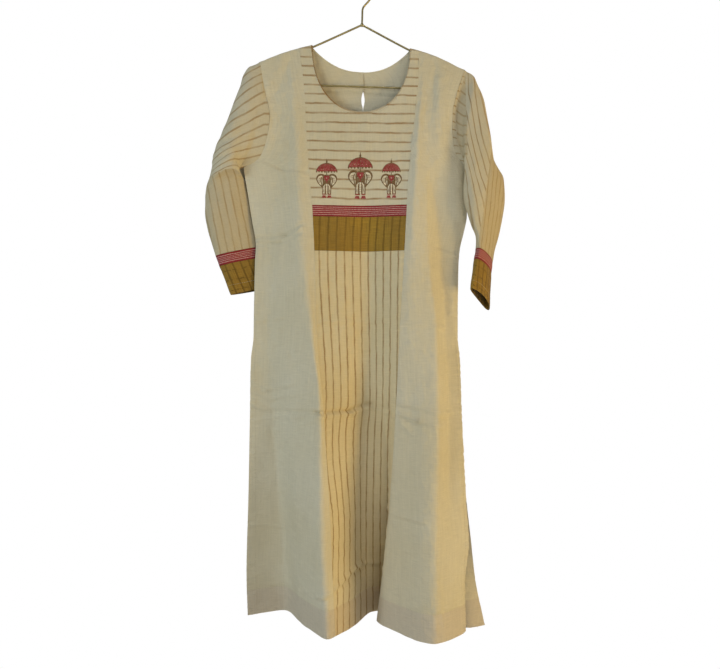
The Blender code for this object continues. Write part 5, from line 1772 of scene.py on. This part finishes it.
def brass_wire():
    """Gold-coloured wire with drawn lines, duller patches and small scratches."""
    material, shade, shader, place = new_finish("brass wire")
    dull = shade.ramp(shade.noise(place, 70.0, 3.0), 0.4, 0.7)
    shade.put(shader.inputs["Base Color"], shade.mix(dull, (0.42, 0.35, 0.17, 1),
                                                     (0.30, 0.25, 0.12, 1)))
    shade.put(shader.inputs["Roughness"], shade.math("MULTIPLY_ADD", dull, 0.2, 0.3))
    scratches = shade.noise(shade.scaled(place, 1.0, 1.0, 0.2), 1800.0, 2.0)
    shade.put(shader.inputs["Normal"], shade.bump(0.15, 0.00003, scratches))
    shader.inputs["Metallic"].default_value = 0.6
    return material


def thread(name, colour, scale):
    material, shade, shader, place = new_finish(name)
    tone = shade.ramp(shade.noise(place, scale, 2.0), 0.3, 0.7)
    darker = [value * 0.75 for value in colour]
    shade.put(shader.inputs["Base Color"], shade.mix(tone, (*colour, 1), (*darker, 1)))
    shade.put(shader.inputs["Normal"],
              shade.bump(0.4, 0.0001, shade.noise(place, scale * 4, 1.0)))
    shader.inputs["Roughness"].default_value = 0.75
    return material


cream = ClothFinish("cream cotton", CREAM).finish()
yoke_cloth = striped_cotton("striped yoke cotton", CREAM, False, True)
# The centre skirt's cloth gets the warmer cream: painted warm light.
skirt_cloth = striped_cotton("striped skirt cotton", WARM_LIT_CREAM, False, False)
sleeve_cloth = striped_cotton("striped sleeve cotton", CREAM, True, False)
red = red_band()
olive = olive_cotton("olive cotton", False)
cuff_cloth = olive_cotton("olive cuff cotton", True)

# Build the garment

front = Cloth(FRONT_RAILS, 1)
back = Cloth(BACK_RAILS, -1)
LEFT_SEAM, RIGHT_SEAM, RIGHT_EDGE = 4, 8, 14
BACK_NECK = (2, 5)
KEYHOLE = (3, 4)

pieces = {}
pieces["front_side_left"] = side_panel("cloth_front_side_left", front, 0, LEFT_SEAM,
                                       ARMHOLE_ROWS_LEFT, cream, 1.0)
pieces["front_side_right"] = side_panel("cloth_front_side_right", front, RIGHT_SEAM, RIGHT_EDGE,
                                        ARMHOLE_ROWS_RIGHT, cream, 2.0)
pieces["front_print_band"] = centre_panel("cloth_front_print_band", front, BAND_TOP, OLIVE_TOP,
                                          red, 3.0, True)
pieces["front_olive_panel"] = centre_panel("cloth_front_olive_panel", front, OLIVE_TOP,
                                           SKIRT_TOP, olive, 3.0, True)
pieces["front_centre_skirt"] = centre_panel("cloth_front_centre_skirt", front, SKIRT_TOP, HEM,
                                            skirt_cloth, 3.0, False)
pieces["front_centre_yoke"] = yoke_panel("cloth_front_centre_yoke", front, yoke_cloth, 3.0)
pieces["back_panel"] = back_panel("cloth_back_panel", back, cream, 4.0)
for side, rings, ends, inner, front_rows, back_rows, stops, flip in (
        ("left", LEFT_SLEEVE_RINGS, (0, 0), (0.33, 0.5), ARMHOLE_ROWS_LEFT, BACK_ROWS_LEFT,
         LEFT_SLEEVE_PIECES, -1),
        ("right", RIGHT_SLEEVE_RINGS, (RIGHT_EDGE, 8), (13, 7.5), ARMHOLE_ROWS_RIGHT,
         BACK_ROWS_RIGHT, RIGHT_SLEEVE_PIECES, 1)):
    front_edge = ArmholeEdge(front, ends[0], inner[0], front_rows)
    back_edge = ArmholeEdge(back, ends[1], inner[1], back_rows)
    sleeve = SleeveTube(rings, front_edge, back_edge, 130)
    name = "sleeve_" + side
    for part, start, end, finish, sewn in (
            ("", 0, stops[0], sleeve_cloth, ("bottom",)),
            ("_band", stops[0], stops[1], red, ("top", "bottom")),
            ("_cuff", stops[1], stops[2], cuff_cloth, ("top",))):
        pieces[name + part] = sleeve_piece("cloth_" + name + part, side, sleeve, start, end, flip,
                                           finish, 5.0, sewn)

prints = make_motifs(pieces["front_centre_yoke"],
                     {"red": print_ink("red ink", (0.25, 0.02, 0.022)),
                      "brown": print_ink("brown ink", (0.13, 0.068, 0.022)),
                      "cream": print_ink("cream ink", (0.60, 0.54, 0.41))})
stitches = make_stitches(thread("cream thread", (0.60, 0.53, 0.38), 700.0))
hanger = make_hanger(brass_wire())
button = make_button(thread("cream button", (0.62, 0.56, 0.42), 200.0))
loop = make_loop(thread("loop thread", (0.58, 0.50, 0.36), 500.0))

for piece in prints + [stitches]:
    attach(piece, "root")
for piece, node, slot_name in ((hanger, "hanger", "wire"), (button, "back_neck_button", "button"),
                               (loop, "back_neck_loop", "button")):
    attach(piece, "root")
    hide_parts(node)
for node, piece in pieces.items():
    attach(piece, "root")
    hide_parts(node)

# Floor, light and camera

def stage_material(name, shade_colour, seen_colour):
    """Matt and pale, and even white where the camera sees it directly."""
    material, shade, shader = new_finish(name)[:3]
    shader.inputs["Base Color"].default_value = (*shade_colour, 1)
    shader.inputs["Roughness"].default_value = 0.95
    seen = shade.add("ShaderNodeEmission", ("Color", (*seen_colour, 1)), ("Strength", 1.0))
    ray = shade.add("ShaderNodeLightPath").outputs["Is Camera Ray"]
    both = shade.add("ShaderNodeMixShader", (0, ray), (1, shader.outputs[0]),
                     (2, seen.outputs[0]))
    shade.put(material.node_tree.nodes["Material Output"].inputs["Surface"], both.outputs[0])
    return material


floor_mesh = bpy.data.meshes.new("floor")
floor_mesh.from_pydata([(-5, -4, -1.45), (5, -4, -1.45), (5, 6, -1.45), (-5, 6, -1.45)], [],
                       [(0, 1, 2, 3)])
floor = add_piece("floor", floor_mesh, stage_material("pale floor", (0.8, 0.8, 0.8),
                                                      (1.0, 1.0, 1.0)))

world = bpy.data.worlds.new("studio")
bpy.context.scene.world = world
world.use_nodes = True
air = Shade(world.node_tree)
background = world.node_tree.nodes["Background"]
ray = air.add("ShaderNodeLightPath").outputs["Is Camera Ray"]
air.put(background.inputs["Color"], air.mix(ray, (0.93, 0.97, 1.0, 1), (1, 1, 1, 1)))
air.put(background.inputs["Strength"], air.ramp(ray, 0.0, 1.0, 0.15, 1.0))


def area_light(name, place, target, size, power, colour):
    data = bpy.data.lights.new(name, "AREA")
    data.size = size
    data.energy = power
    data.color = colour
    lamp = add_object(name, data)
    lamp.location = place
    lamp.rotation_euler = (Vector(target) - Vector(place)).to_track_quat("-Z", "Y").to_euler()


area_light("warm side", (2.2, -1.0, -0.95), (0, 0, -0.75), 0.8, 28.5, (1.0, 0.71, 0.24))
area_light("cool side", (-2.0, -1.45, -0.2), (0, 0, -0.75), 1.0, 21.5, (0.84, 0.97, 1.0))
area_light("front", (0.9, -2.1, -1.35), (0.1, 0, -1.1), 1.2, 12.0, (1.0, 0.93, 0.78))
area_light("overhead", (0.3, -1.9, 2.0), (0, 0, -0.7), 0.35, 11.5, (1.0, 0.94, 0.86))

bpy.context.scene.view_settings.view_transform = "Standard"
camera_data = bpy.data.cameras.new("camera")
camera_data.lens = 33.0
camera_data.sensor_width = 36.0
camera = add_object("camera", camera_data)
camera.location = (-0.0039, -1.3, -0.695)
camera.rotation_euler = (math.pi / 2, 0, 0)
bpy.context.scene.camera = camera
